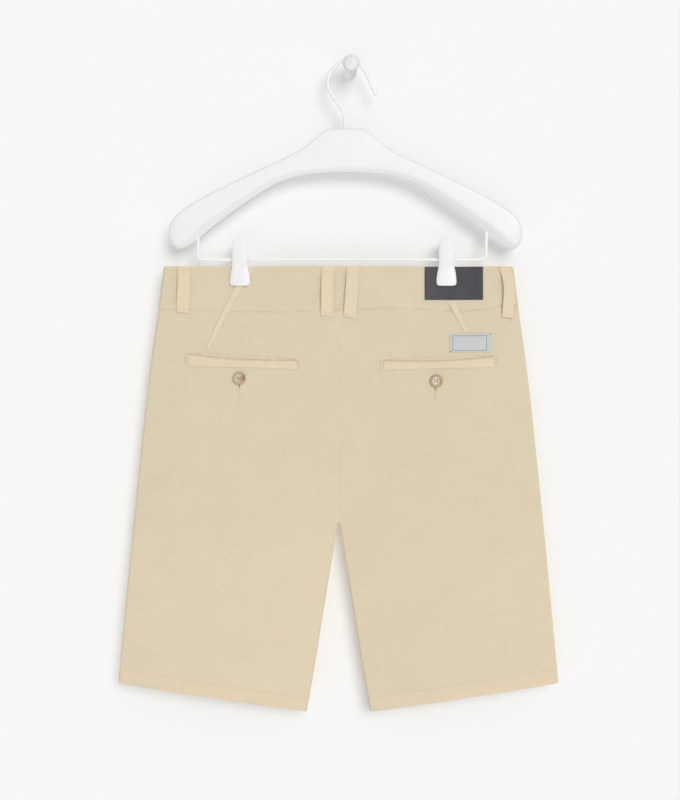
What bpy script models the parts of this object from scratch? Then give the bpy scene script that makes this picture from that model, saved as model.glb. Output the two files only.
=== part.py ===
"""Bermuda shorts clipped by the waistband to a hanger, which hangs on a wall peg.

The frame: +Z is up, the wall is the plane y = 0, and the origin is the middle of the peg's flat
back face. The shorts hang with their front towards the wall and their back towards -Y. Left and
right are the wearer's, which from behind are the viewer's too: left is -X. Sizes are in mm and are
turned to metres where a mesh is made. On the cloth a place is (x, drop): x from the centre seam
and drop down from the top of the waistband.
"""

import math
from collections import namedtuple

import bmesh
import bpy

MM = 0.001

# Where things hang
HANG_Y = -26.0  # the upright plane through the hook, the bar and the middle of the shorts
SHORTS_X = -15.6  # the centre seams
WAIST_Z = -251.0  # the top of the waistband at the back
HANGER_X = -6.7  # the middle of the hanger

# Cloth
SEAM_GAP = 0.3  # between pieces that are sewn together
CLOTH_WALL = 1.2
BAND_WALL = 2.0
BAND_STEP = 0.6  # the waistband stands this far out of the panels
BAND_HEIGHT = 53.0
FRONT_TOP = 3.0  # the front waistband's top lies this much lower
TRIM_WALL = 1.0  # belt loops, darts, welts, labels
HEM_WALL = 2.4
HEM_HEIGHT = 19.0
FOLD_RADIUS = 3.0  # where the flattened tube turns at the side seams and inseams
SWELL_RUN = 110.0  # from a fold to the full depth
CROTCH_DROP = 323.0
HEM_OUTER_DROP = 525.0
HEM_INNER_DROP = 561.0

# Clips: the cloth is pinched to a constant depth under each
CLIP_X = (-123.9, 135.9)
PINCHED_DEPTH = 1.6
PINCH_HALF_WIDTH = 45.0
PINCH_END = 30.0
PINCH_FADE = 110.0

Section = namedtuple("Section", "drop half_width half_depth")
SECTIONS = (
    Section(0, 219.9, 4.6),
    Section(54, 226.6, 5.6),
    Section(108, 234.9, 6.8),
    Section(168, 242.3, 7.8),
    Section(229, 248.7, 8.4),
    Section(289, 255.0, 8.8),
    Section(323, 258.4, 9.0),
    Section(365, 262.5, 9.0),
    Section(425, 268.2, 8.6),
    Section(486, 273.9, 8.2),
    Section(525, 277.6, 8.0),
    Section(562, 281.0, 8.0),
)

# Half the gap between the legs, at each inseam
Inseam = namedtuple("Inseam", "drop half_gap")
INSEAMS = (
    Inseam(323, 0.15),
    Inseam(334, 2.8),
    Inseam(365, 7.6),
    Inseam(425, 17.6),
    Inseam(486, 27.2),
    Inseam(562, 40.2),
)

# A panel's rows, from the waistband's lower edge to the hem. They crowd round the crotch at the
# inner end only, and slope with the hem below it.
Row = namedtuple("Row", "outer_drop inner_drop")
PANEL_ROWS = (
    Row(53.3, 53.3),
    Row(66, 66),
    Row(85, 85),
    Row(108, 108),
    Row(135, 138),
    Row(165, 172),
    Row(195, 208),
    Row(222, 243),
    Row(246, 274),
    Row(266, 298),
    Row(282, 313),
    Row(295, 320),
    Row(306, 321.5),
    Row(315, 322.6),
    Row(323, 323),
    Row(333, 327),
    Row(346, 337),
    Row(365, 356),
    Row(388, 382),
    Row(414, 412),
    Row(442, 444),
    Row(468, 476),
    Row(490, 506),
)

BACK = -1
FRONT = 1
LEFT = -1
RIGHT = 1
SIDES = (("left", LEFT), ("right", RIGHT))

Colour = namedtuple("Colour", "red green blue")
BEIGE = Colour(0.72, 0.61, 0.43)
PALE_BEIGE = Colour(0.78, 0.65, 0.46)
WHITE_PLASTIC = Colour(0.86, 0.86, 0.85)
WHITE_PAINT = Colour(0.80, 0.80, 0.78)
DARK_PATCH = Colour(0.085, 0.075, 0.088)
LABEL_GREY = Colour(0.58, 0.61, 0.60)
HORN = Colour(0.32, 0.20, 0.11)


def clear_scene():
    """Removes the startup objects and makes the two collections."""
    for old in list(bpy.data.objects):
        bpy.data.objects.remove(old)
    for name in ("bermuda_shorts", "cutters"):
        collection = bpy.data.collections.new(name)
        bpy.context.scene.collection.children.link(collection)
    bpy.data.collections["cutters"].hide_render = True


def material(name, colour, roughness, metallic=0.0):
    """The material of this name, made when it is first asked for."""
    made = bpy.data.materials.get(name)
    if made:
        return made
    made = bpy.data.materials.new(name)
    made.use_nodes = True
    surface = made.node_tree.nodes["Principled BSDF"]
    surface.inputs["Base Color"].default_value = (*colour, 1.0)
    surface.inputs["Roughness"].default_value = roughness
    surface.inputs["Metallic"].default_value = metallic
    made.diffuse_color = (*colour, 1.0)
    return made


def cotton():
    return material("beige_cotton", BEIGE, 0.9)


def trim_cotton():
    return material("beige_cotton_trim", PALE_BEIGE, 0.9)


def white_plastic():
    return material("white_plastic", WHITE_PLASTIC, 0.4)


def put_in_scene(obj, finish):
    obj.data.materials.append(finish)
    bpy.data.collections["bermuda_shorts"].objects.link(obj)
    return obj


def slab(name, outer, inner, finish):
    """A closed solid between two grids of points (mm) that have the same rows and columns."""
    rows = len(outer)
    columns = len(outer[0])
    mesh = bpy.data.meshes.new(name)
    shape = bmesh.new()
    layers = []
    for grid in (outer, inner):
        layers.append([[shape.verts.new([value * MM for value in point]) for point in row] for row in grid])
    front, back = layers
    for row in range(rows - 1):
        for column in range(columns - 1):
            for layer in layers:
                shape.faces.new(
                    (
                        layer[row][column],
                        layer[row][column + 1],
                        layer[row + 1][column + 1],
                        layer[row + 1][column],
                    )
                )
    for row in range(rows - 1):
        for column in (0, columns - 1):
            shape.faces.new(
                (front[row][column], front[row + 1][column], back[row + 1][column], back[row][column])
            )
    for column in range(columns - 1):
        for row in (0, rows - 1):
            shape.faces.new(
                (front[row][column], front[row][column + 1], back[row][column + 1], back[row][column])
            )
    bmesh.ops.recalc_face_normals(shape, faces=shape.faces)
    shape.to_mesh(mesh)
    shape.free()
    mesh.shade_smooth()
    mesh.set_sharp_from_angle(angle=math.radians(50))
    return put_in_scene(bpy.data.objects.new(name, mesh), finish)


def loft(name, sections, finish):
    """A closed tube through sections of equally many points (mm), with flat ends."""
    mesh = bpy.data.meshes.new(name)
    shape = bmesh.new()
    rings = [[shape.verts.new([value * MM for value in point]) for point in section] for section in sections]
    for ring, following in zip(rings, rings[1:]):
        for index in range(len(ring)):
            after = (index + 1) % len(ring)
            shape.faces.new((ring[index], ring[after], following[after], following[index]))
    shape.faces.new(rings[0])
    shape.faces.new(rings[-1])
    bmesh.ops.recalc_face_normals(shape, faces=shape.faces)
    shape.to_mesh(mesh)
    shape.free()
    mesh.shade_smooth()
    mesh.set_sharp_from_angle(angle=math.radians(50))
    return put_in_scene(bpy.data.objects.new(name, mesh), finish)


def turned(name, profile, steps, finish):
    """A solid turned about its own Z from a profile of (radius, height) in mm, top to bottom."""
    mesh = bpy.data.meshes.new(name)
    points = [(radius * MM, 0.0, height * MM) for radius, height in profile]
    edges = [(index, index + 1) for index in range(len(points) - 1)]
    if profile[0][0] > 0:
        edges.append((len(points) - 1, 0))
    mesh.from_pydata(points, edges, [])
    obj = put_in_scene(bpy.data.objects.new(name, mesh), finish)
    screw = obj.modifiers.new("turn", "SCREW")
    screw.steps = steps
    screw.render_steps = steps
    screw.use_merge_vertices = True
    screw.merge_threshold = 0.00001
    return obj


def drill(obj, holes, radius, deep, around):
    """Cuts round holes along an object's own Z axis, each centred at a point (mm) in it."""
    shape = bmesh.new()
    for hole in holes:
        made = bmesh.ops.create_cone(
            shape,
            cap_ends=True,
            segments=around,
            radius1=radius * MM,
            radius2=radius * MM,
            depth=deep * MM,
        )
        bmesh.ops.translate(shape, verts=made["verts"], vec=[value * MM for value in hole])
    mesh = bpy.data.meshes.new(obj.name + "_holes")
    shape.to_mesh(mesh)
    shape.free()
    cutter = bpy.data.objects.new(mesh.name, mesh)
    cutter.hide_render = True
    cutter.display_type = "WIRE"
    bpy.data.collections["cutters"].objects.link(cutter)
    obj.modifiers.new("holes", "BOOLEAN").object = cutter
    return cutter


def wire(name, route, radius, finish):
    """A round wire (mm) through the points of a route."""
    data = bpy.data.curves.new(name, "CURVE")
    data.dimensions = "3D"
    data.bevel_depth = radius * MM
    data.bevel_resolution = 3
    data.use_fill_caps = True
    spline = data.splines.new("POLY")
    spline.points.add(len(route) - 1)
    for place, point in zip(spline.points, route):
        place.co = (*[value * MM for value in point], 1.0)
    return put_in_scene(bpy.data.objects.new(name, data), finish)


def smooth(table, column, at):
    """Reads a column of a table at any place of its first column, on a smooth curve."""
    places = [row[0] for row in table]
    values = [getattr(row, column) for row in table]
    at = min(max(at, places[0]), places[-1])
    index = max(sum(place < at for place in places[:-1]) - 1, 0)

    def slope(row):
        before = max(row - 1, 0)
        after = min(row + 1, len(places) - 1)
        return (values[after] - values[before]) / (places[after] - places[before])

    span = places[index + 1] - places[index]
    part = (at - places[index]) / span
    start = values[index] * (1 + 2 * part) * (1 - part) ** 2
    end = values[index + 1] * part**2 * (3 - 2 * part)
    leave = slope(index) * span * part * (1 - part) ** 2
    arrive = slope(index + 1) * span * part**2 * (part - 1)
    return start + end + leave + arrive


def ease(part):
    """Rises from 0 at 0, quickly at first, and stays at 1 from 1 on."""
    return 1 - (1 - min(part, 1)) ** 2


def fade(part):
    """Falls smoothly from 1 at 0 to 0 at 1."""
    part = min(max(part, 0), 1)
    return 1 - part**2 * (3 - 2 * part)


def folds(x, drop):
    """Distances from the fold at the side seam and from the one at the inseam, and the way in from
    the nearer one, in (x, z). Above the legs the inner fold is the crotch."""
    outer = max(smooth(SECTIONS, "half_width", drop) - abs(x), 0)
    side = math.copysign(1, x)
    if drop > CROTCH_DROP:
        inner = max(abs(x) - smooth(INSEAMS, "half_gap", drop), 0)
        away = (side, 0)
    else:
        inner = math.hypot(x, CROTCH_DROP - drop)
        away = (x / inner, (CROTCH_DROP - drop) / inner)
    return outer, inner, (-side, 0) if outer < inner else away


def free_depth(x, drop):
    """How far the cloth lies from the middle plane where no clip pinches it."""
    outer, inner, _ = folds(x, drop)
    nearest = min(outer, inner, FOLD_RADIUS)
    turn = math.sqrt(FOLD_RADIUS**2 - (FOLD_RADIUS - nearest) ** 2)
    swell = smooth(SECTIONS, "half_depth", drop) - FOLD_RADIUS
    return turn + swell * ease(outer / SWELL_RUN) * ease(inner / SWELL_RUN)


def depth(x, drop):
    """How far the cloth's outer face lies from the middle plane."""
    free = free_depth(x, drop)
    for clip in CLIP_X:
        grip = math.exp(-(((x - clip) / PINCH_HALF_WIDTH) ** 4))
        grip *= fade((drop - PINCH_END) / PINCH_FADE)
        free += (PINCHED_DEPTH - free) * grip
    return free


def on_cloth(x, drop, face, lift):
    """A point lifted off the outer face of the back or the front at a place on the cloth."""
    outer, inner, inward = folds(x, drop)
    turn = 1 - min(outer, inner, FOLD_RADIUS) / FOLD_RADIUS
    out_of_plane = math.sqrt(1 - turn**2)
    away = max(depth(x, drop) + lift * out_of_plane, SEAM_GAP / 2)
    return (
        SHORTS_X + x - lift * turn * inward[0],
        HANG_Y + face * away,
        WAIST_Z - drop - lift * turn * inward[1],
    )


def cloth_wall(name, face, places, finish):
    """A wall of cloth over a grid of (x, drop, under, over): its two faces' lifts off the cloth."""
    outer = [[on_cloth(x, drop, face, over) for x, drop, under, over in row] for row in places]
    inner = [[on_cloth(x, drop, face, under) for x, drop, under, over in row] for row in places]
    return slab(name, outer, inner, finish)


def across(side, outer_drop, inner_drop, middle_columns, under, over):
    """One row of a panel, from the side seam to the centre seam or inseam."""
    outer_x = smooth(SECTIONS, "half_width", outer_drop)
    inner_x = SEAM_GAP / 2
    if inner_drop > CROTCH_DROP:
        inner_x = smooth(INSEAMS, "half_gap", inner_drop)
    width = outer_x - inner_x
    turn = [FOLD_RADIUS * (1 - math.cos(math.radians(angle))) for angle in (0, 30, 60, 90)]
    flat = [
        FOLD_RADIUS + (width - 2 * FOLD_RADIUS) * step / middle_columns
        for step in range(1, middle_columns)
    ]
    row = []
    for run in turn + flat + [width - part for part in reversed(turn)]:
        drop = outer_drop + (inner_drop - outer_drop) * run / width
        row.append((side * (outer_x - run), drop, under, over))
    return row


def laid_piece(name, face, corners, steps, under, finish, wall=TRIM_WALL):
    """A flat piece on the cloth between four corners (x, drop): top left, top right, then below.
    under is the lift of its lower face at a drop."""
    across_steps, down_steps = steps
    (left_top, right_top, left_low, right_low) = corners
    places = []
    for down in range(down_steps + 1):
        low = down / down_steps
        row = []
        for step in range(across_steps + 1):
            along = step / across_steps
            place = [
                (left_top[axis] * (1 - along) + right_top[axis] * along) * (1 - low)
                + (left_low[axis] * (1 - along) + right_low[axis] * along) * low
                for axis in (0, 1)
            ]
            lift = under(place[1])
            row.append((*place, lift, lift + wall))
        places.append(row)
    return cloth_wall(name, face, places, finish)


def on_panel(_drop):
    return SEAM_GAP


def on_band(_drop):
    return BAND_STEP + SEAM_GAP


def over_band_edge(drop):
    """On the waistband, then down its lower edge onto the panel."""
    return SEAM_GAP + BAND_STEP * fade((drop - BAND_HEIGHT - 1) / 5)


def build_panels():
    """Four panels: a back and a front for each leg, from the waistband to the turned hem."""
    hem_rows = [
        Row(HEM_OUTER_DROP - HEM_HEIGHT - 1, HEM_INNER_DROP - HEM_HEIGHT - 1),
        Row(HEM_OUTER_DROP - HEM_HEIGHT, HEM_INNER_DROP - HEM_HEIGHT),
        Row(HEM_OUTER_DROP, HEM_INNER_DROP),
    ]
    rows = [(row, CLOTH_WALL) for row in (*PANEL_ROWS, hem_rows[0])]
    rows += [(row, HEM_WALL) for row in hem_rows[1:]]
    for cut, face in (("back", BACK), ("front", FRONT)):
        for hand, side in SIDES:
            places = [
                across(side, row.outer_drop, row.inner_drop, 11, -wall, 0) for row, wall in rows
            ]
            cloth_wall(f"{cut}_panel_{hand}", face, places, cotton())


def build_waistband():
    """Four lengths of doubled band, which meet at the side seams and at the centre back."""
    for cut, face, top in (("back", BACK, 0), ("front", FRONT, FRONT_TOP)):
        for hand, side in SIDES:
            places = []
            for drop in (top, (top + BAND_HEIGHT) / 2, BAND_HEIGHT):
                places.append(across(side, drop, drop, 17, BAND_STEP - BAND_WALL, BAND_STEP))
            cloth_wall(f"waistband_{cut}_{hand}", face, places, cotton())


Loop = namedtuple("Loop", "name face top_x middle_x low_x low_drop")
LOOPS = (
    Loop("belt_loop_back_outer_left", BACK, -194.2, -193.4, -195.8, 58.5),
    Loop("belt_loop_back_inner_left", BACK, -13.2, -13.8, -14.8, 62.5),
    Loop("belt_loop_back_inner_right", BACK, 17.6, 16.6, 14.4, 64.5),
    Loop("belt_loop_back_outer_right", BACK, 208.6, 212.6, 210.6, 64.5),
    Loop("belt_loop_front_left", FRONT, -97, -97, -97, 62.5),
    Loop("belt_loop_front_right", FRONT, 97, 97, 97, 62.5),
)
LOOP_WIDTH = 15.6
LOOP_WALL = 1.4

# A belt loop from its top to its lower end: the part of its length, and its stand off the cloth
Bow = namedtuple("Bow", "part stand")
LOOP_BOW = (
    Bow(0.0, 0.9),
    Bow(0.08, 1.0),
    Bow(0.24, 2.4),
    Bow(0.5, 3.0),
    Bow(0.72, 2.6),
    Bow(0.86, 1.3),
    Bow(0.95, 0.5),
    Bow(1.0, 0.45),
)


def build_belt_loops():
    """Strips tacked down at both ends, which stand off the band between them."""
    for loop in LOOPS:
        top = 0.6 if loop.face == BACK else FRONT_TOP + 0.6
        outer = []
        inner = []
        for bow in LOOP_BOW:
            drop = top + (loop.low_drop - top) * bow.part
            if bow.part < 0.5:
                x = loop.top_x + (loop.middle_x - loop.top_x) * bow.part * 2
            else:
                x = loop.middle_x + (loop.low_x - loop.middle_x) * (bow.part * 2 - 1)
            edges = (x - LOOP_WIDTH / 2, x + LOOP_WIDTH / 2)
            base = max(depth(place, drop) for place in (*edges, x))
            rows = []
            for lift in (bow.stand + LOOP_WALL, bow.stand):
                y = HANG_Y + loop.face * (base + lift)
                rows.append([(SHORTS_X + place, y, WAIST_Z - drop) for place in edges])
            outer.append(rows[0])
            inner.append(rows[1])
        slab(loop.name, outer, inner, trim_cotton())


def build_darts():
    """The stitched-down folds of the back darts, which narrow from the waist to the pockets."""
    laid_piece(
        "dart_left",
        BACK,
        ((-116, 0.4), (-105, 0.4), (-167.5, 104), (-164.5, 104)),
        (2, 16),
        over_band_edge,
        trim_cotton(),
    )
    laid_piece(
        "dart_right",
        BACK,
        ((136, 43), (147, 43), (158.6, 83.6), (163.4, 83.6)),
        (2, 8),
        over_band_edge,
        trim_cotton(),
    )


def build_back_pockets():
    """A welt over each back pocket's mouth, and a horn button under it."""
    laid_piece(
        "pocket_welt_left",
        BACK,
        ((-190.1, 111.3), (-52.7, 118.9), (-188.5, 124.7), (-53.3, 129.4)),
        (12, 2),
        on_panel,
        trim_cotton(),
    )
    laid_piece(
        "pocket_welt_right",
        BACK,
        ((56.2, 119.0), (195.7, 113.7), (57.2, 130.4), (191.4, 126.8)),
        (12, 2),
        on_panel,
        trim_cotton(),
    )


BUTTON_RADIUS = 8.0
BUTTON_PROFILE = (
    (0, 1.5),
    (4.4, 1.5),
    (5.2, 2.4),
    (6.4, 2.7),
    (7.5, 2.3),
    (8.0, 1.4),
    (7.5, 0.5),
    (6.4, 0),
    (0, 0),
)
THREAD_HOLE_RADIUS = 0.8
THREAD_HOLE_OFFSET = 1.5

Button = namedtuple("Button", "name face x drop lift")
BUTTONS = (
    Button("pocket_button_left", BACK, -124.8, 141.2, 0),
    Button("pocket_button_right", BACK, 122.6, 144.5, 0),
    Button("waist_button", FRONT, -12.0, 28.0, BAND_STEP + TRIM_WALL + SEAM_GAP),
)


def build_buttons():
    """Four-hole buttons, each flat on the cloth over its buttonhole."""
    for button in BUTTONS:
        reach = BUTTON_RADIUS * 0.8
        rims = [(button.x, button.drop + reach), (button.x, button.drop - reach)]
        rims += [(button.x + reach, button.drop), (button.x - reach, button.drop)]
        base = max(depth(x, drop) for x, drop in rims) + button.lift + SEAM_GAP
        place = (
            (SHORTS_X + button.x) * MM,
            (HANG_Y + button.face * base) * MM,
            (WAIST_Z - button.drop) * MM,
        )
        obj = turned(button.name, BUTTON_PROFILE, 24, material("brown_horn", HORN, 0.3))
        signs = ((-1, -1), (-1, 1), (1, -1), (1, 1))
        holes = [(x * THREAD_HOLE_OFFSET, y * THREAD_HOLE_OFFSET, 1) for x, y in signs]
        cutter = drill(obj, holes, THREAD_HOLE_RADIUS, 8, 10)
        for moved in (obj, cutter):
            moved.location = place
            moved.rotation_euler = (-button.face * math.radians(90), 0, 0)


def build_labels():
    """A bare patch on the waistband and a bare woven label above the right pocket."""
    laid_piece(
        "waistband_patch",
        BACK,
        ((108.6, 0.4), (181.9, 0.4), (108.6, 42.2), (181.9, 42.2)),
        (12, 3),
        on_band,
        material("dark_patch", DARK_PATCH, 0.5),
    )
    laid_piece(
        "woven_label",
        BACK,
        ((140.0, 85.0), (192.0, 85.0), (140.0, 108.2), (192.0, 108.2)),
        (6, 3),
        on_panel,
        material("woven_label", LABEL_GREY, 0.8),
    )


def build_front():
    """The fly's overlapping edge and tab, and the turned edges of the slanted front pockets."""
    fly_width = 38.0
    fly_end = 205.0
    laid_piece(
        "fly_edge",
        FRONT,
        ((-fly_width, BAND_HEIGHT + 1), (4, BAND_HEIGHT + 1), (-10, fly_end), (4, fly_end)),
        (4, 8),
        on_panel,
        cotton(),
    )
    laid_piece(
        "waistband_tab",
        FRONT,
        ((-fly_width, 3.4), (9, 3.4), (-fly_width, BAND_HEIGHT), (9, BAND_HEIGHT)),
        (4, 2),
        on_band,
        cotton(),
    )
    for hand, side in SIDES:
        corners = [(152, 54), (165, 54), (214, 196), (227, 196)]
        if side == LEFT:
            corners = [(-x, drop) for x, drop in corners]
        laid_piece(f"front_pocket_edge_{hand}", FRONT, corners, (2, 8), on_panel, cotton())


# Hanger: pairs of points on its upper and lower edge, from the middle to the tip, as distance
# from the middle and height, with its thickness and how high its slanted underside reaches
Arm = namedtuple("Arm", "upper_x upper_z lower_x lower_z thick slant")
ARM = (
    Arm(0, -77.3, 0, -132.2, 15, 5.5),
    Arm(13, -77.3, 13, -132.4, 15, 5.5),
    Arm(21.5, -77.9, 25, -133.1, 15, 5.5),
    Arm(27, -80.4, 35, -133.9, 15, 5.5),
    Arm(36, -88.1, 46, -135.0, 15, 5.8),
    Arm(52.4, -101.2, 58, -137.2, 15.5, 6.2),
    Arm(71.9, -111.9, 70, -140.3, 16, 6.6),
    Arm(104.1, -127.1, 92, -149.3, 17, 7.2),
    Arm(142.4, -145.4, 126, -170.7, 18, 8.0),
    Arm(176.0, -162.4, 153, -190.2, 19, 9.0),
    Arm(198.9, -176.1, 172, -204.4, 20, 10.0),
    Arm(213.6, -188.0, 188.2, -218.5, 20, 10.5),
    Arm(220.6, -200.5, 201, -226.4, 18, 9.0),
    Arm(222.3, -211.5, 210.5, -228.2, 14, 6.0),
    Arm(220.6, -219.5, 216.5, -225.9, 8, 2.0),
)

# The arm's rounded section: the part of the way from its lower to its upper edge, and the place
# across its thickness, with how much of the slant comes on top of each
Rim = namedtuple("Rim", "rise slant across back")
ARM_SECTION = (
    Rim(0.03, 0, 0.5, 0),
    Rim(0.0, 0, 0.38, 0),
    Rim(0.0, 0, -0.5, 1.15),
    Rim(0.0, 0.08, -0.5, 0.92),
    Rim(0.0, 0.92, -0.5, 0.08),
    Rim(0.0, 1.15, -0.5, 0),
    Rim(0.9, 0, -0.5, 0),
    Rim(0.97, 0, -0.4, 0),
    Rim(1.0, 0, -0.18, 0),
    Rim(1.0, 0, 0.18, 0),
    Rim(0.97, 0, 0.4, 0),
    Rim(0.9, 0, 0.5, 0),
)


WIRE_RADIUS = 2.0
BAR_ENDS = (-176.9, 186.4)  # from the shorts' centre
BAR_TOPS = (-212.6, -205.6)  # in a socket in the underside of each arm
SOCKET_CUT = 24.0


def build_hanger_body():
    """A moulded yoke with falling arms, a slanted underside and a socket for each end of the bar."""
    sections = []
    for side, arms in ((LEFT, reversed(ARM)), (RIGHT, ARM[1:])):
        for arm in arms:
            section = []
            for rim in ARM_SECTION:
                length = math.hypot(arm.upper_x - arm.lower_x, arm.upper_z - arm.lower_z)
                rise = rim.rise + rim.slant * arm.slant / length
                x = arm.lower_x + (arm.upper_x - arm.lower_x) * rise
                z = arm.lower_z + (arm.upper_z - arm.lower_z) * rise
                y = HANG_Y + arm.thick * rim.across + arm.slant * rim.back
                section.append((HANGER_X + side * x, y, z))
            sections.append(section)
    body = loft("hanger_body", sections, white_plastic())
    sockets = [
        (SHORTS_X + end, HANG_Y, top + SEAM_GAP - SOCKET_CUT / 2) for end, top in zip(BAR_ENDS, BAR_TOPS)
    ]
    drill(body, sockets, WIRE_RADIUS + SEAM_GAP, SOCKET_CUT, 20)


PEG_STEM_RADIUS = 8.2
HOOK_TOP = PEG_STEM_RADIUS + SEAM_GAP + WIRE_RADIUS
NECK_TOP = ARM[0].upper_z

# The hook's route, from the hanger's neck over the peg to the free end
Turn = namedtuple("Turn", "x z")
HOOK_ROUTE = (
    Turn(-7.6, NECK_TOP + SEAM_GAP),
    Turn(-7.8, -63.4),
    Turn(-10.5, -54.0),
    Turn(-16.2, -45.4),
    Turn(-22.6, -36.6),
    Turn(-27.6, -27.0),
    Turn(-29.2, -17.2),
    Turn(-26.8, -7.6),
    Turn(-20.0, 1.5),
    Turn(-10.6, 8.4),
    Turn(0, HOOK_TOP),
    Turn(9.6, 6.2),
    Turn(17.8, -4.6),
    Turn(24.4, -18.6),
    Turn(29.0, -28.6),
    Turn(31.6, -35.0),
)


def through(route, steps):
    """Points on a smooth curve through a route, a few to each of its stretches."""
    ends = [route[0], *route, route[-1]]
    points = []
    for index in range(1, len(ends) - 2):
        before, start, end, after = ends[index - 1 : index + 3]
        for step in range(steps):
            part = step / steps
            points.append(
                [
                    0.5
                    * (
                        2 * start[axis]
                        + (end[axis] - before[axis]) * part
                        + (2 * before[axis] - 5 * start[axis] + 4 * end[axis] - after[axis]) * part**2
                        + (3 * start[axis] - before[axis] - 3 * end[axis] + after[axis]) * part**3
                    )
                    for axis in (0, 1)
                ]
            )
    points.append(list(route[-1]))
    return points


def build_hook():
    """The wire hook, which turns over the peg's stem."""
    route = [(x, HANG_Y, z) for x, z in through(HOOK_ROUTE, 3)]
    wire("hanger_hook", route, WIRE_RADIUS, white_plastic())


BAR_CORNER = 6.5
BAR_RISE = 8.8  # above the waistband


def build_bar():
    """The wire bar that carries the clips, bent up into the arms at both ends."""
    low = WAIST_Z + BAR_RISE
    route = []
    for end, top, side in zip(BAR_ENDS, BAR_TOPS, (LEFT, RIGHT)):
        x = SHORTS_X + end
        stretch = [(x, HANG_Y, top)]
        for angle in (0, 22.5, 45, 67.5, 90):
            turn = math.radians(angle)
            away = BAR_CORNER * (1 - math.cos(turn))
            down = BAR_CORNER * (1 - math.sin(turn))
            stretch.append((x - side * away, HANG_Y, low + down))
        route += stretch if side == LEFT else reversed(stretch)
    wire("clip_bar", route, WIRE_RADIUS, white_plastic())


# A clip's jaw: height over the top of the waistband, half width, and stand off its grip
Jaw = namedtuple("Jaw", "height half_width stand")
JAW = (
    Jaw(33.0, 3.6, 4.4),
    Jaw(32.0, 5.9, 4.2),
    Jaw(29.6, 8.0, 3.8),
    Jaw(26.0, 9.0, 3.2),
    Jaw(17.0, 9.1, 2.2),
    Jaw(9.0, 9.1, 1.7),
    Jaw(3.0, 9.1, 0.8),
    Jaw(-2.5, 9.2, 0),
    Jaw(-7.0, 9.9, 0),
    Jaw(-13.0, 11.2, 0),
    Jaw(-18.5, 12.3, 0),
    Jaw(-22.5, 12.5, 0),
    Jaw(-24.8, 11.7, 0),
    Jaw(-25.7, 10.0, 0),
)
JAW_WALL = 2.4
HUB_HALF_LENGTH = 6.0


def build_clips():
    """Two clips: a jaw on each side of the waistband and a hub round the bar between them."""
    pinched = PINCHED_DEPTH + BAND_STEP + SEAM_GAP
    for (hand, _), clip in zip(SIDES, CLIP_X):
        for place, face, grip in (
            ("back", BACK, pinched + TRIM_WALL + SEAM_GAP),
            ("front", FRONT, pinched),
        ):
            bar_stand = smooth(JAW[::-1], "stand", BAR_RISE)
            spread = (PINCHED_DEPTH + BAND_STEP + SEAM_GAP + TRIM_WALL + SEAM_GAP + bar_stand) - grip
            layers = []
            for wall in (JAW_WALL, 0):
                grid = []
                for jaw in JAW:
                    rise = min(max(jaw.height / BAR_RISE, 0), 1)
                    stand = grip + jaw.stand + (spread - bar_stand) * rise + wall
                    y = HANG_Y + face * stand
                    row = [
                        (SHORTS_X + clip + jaw.half_width * part, y, WAIST_Z + jaw.height)
                        for part in (-1, -0.5, 0, 0.5, 1)
                    ]
                    grid.append(row)
                layers.append(grid)
            slab(f"clip_{hand}_{place}_jaw", layers[0], layers[1], white_plastic())
        reach = PINCHED_DEPTH + BAND_STEP + SEAM_GAP + TRIM_WALL + bar_stand
        bore = WIRE_RADIUS + SEAM_GAP
        profile = (
            (reach, HUB_HALF_LENGTH),
            (reach, -HUB_HALF_LENGTH),
            (bore, -HUB_HALF_LENGTH),
            (bore, HUB_HALF_LENGTH),
        )
        hub = turned(f"clip_{hand}_hub", profile, 20, white_plastic())
        hub.location = (
            (SHORTS_X + clip) * MM,
            HANG_Y * MM,
            (WAIST_Z + BAR_RISE) * MM,
        )
        hub.rotation_euler = (0, math.radians(90), 0)


# The peg, from its cap's face to the wall: radius and distance from the wall
PEG_PROFILE = (
    (0, 52.0),
    (6.6, 51.9),
    (8.8, 51.5),
    (9.9, 50.6),
    (10.3, 49.2),
    (10.3, 46.6),
    (9.9, 45.6),
    (9.3, 45.1),
    (PEG_STEM_RADIUS + 0.6, 40.0),
    (PEG_STEM_RADIUS, 28.0),
    (PEG_STEM_RADIUS, 24.0),
    (7.6, 12.0),
    (7.2, 0),
    (0, 0),
)


def build_peg():
    """The turned wall peg that carries the hook."""
    peg = turned("wall_peg", PEG_PROFILE, 32, material("white_paint", WHITE_PAINT, 0.4))
    peg.rotation_euler = (math.radians(90), 0, 0)


clear_scene()
build_panels()
build_waistband()
build_belt_loops()
build_darts()
build_back_pockets()
build_buttons()
build_labels()
build_front()
build_hanger_body()
build_hook()
build_bar()
build_clips()
build_peg()
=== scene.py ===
"""Bermuda shorts clipped to a hanger on a wall peg: the finished look of each piece.

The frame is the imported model's: +Z is up, the wall is the plane y = 0, and the origin is the
middle of the peg's back. The shorts hang with their front to the wall and their back towards -Y,
and left and right are the wearer's. Sizes are in mm and are turned to metres where a mesh is made.
"""

import math
from collections import namedtuple

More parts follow.
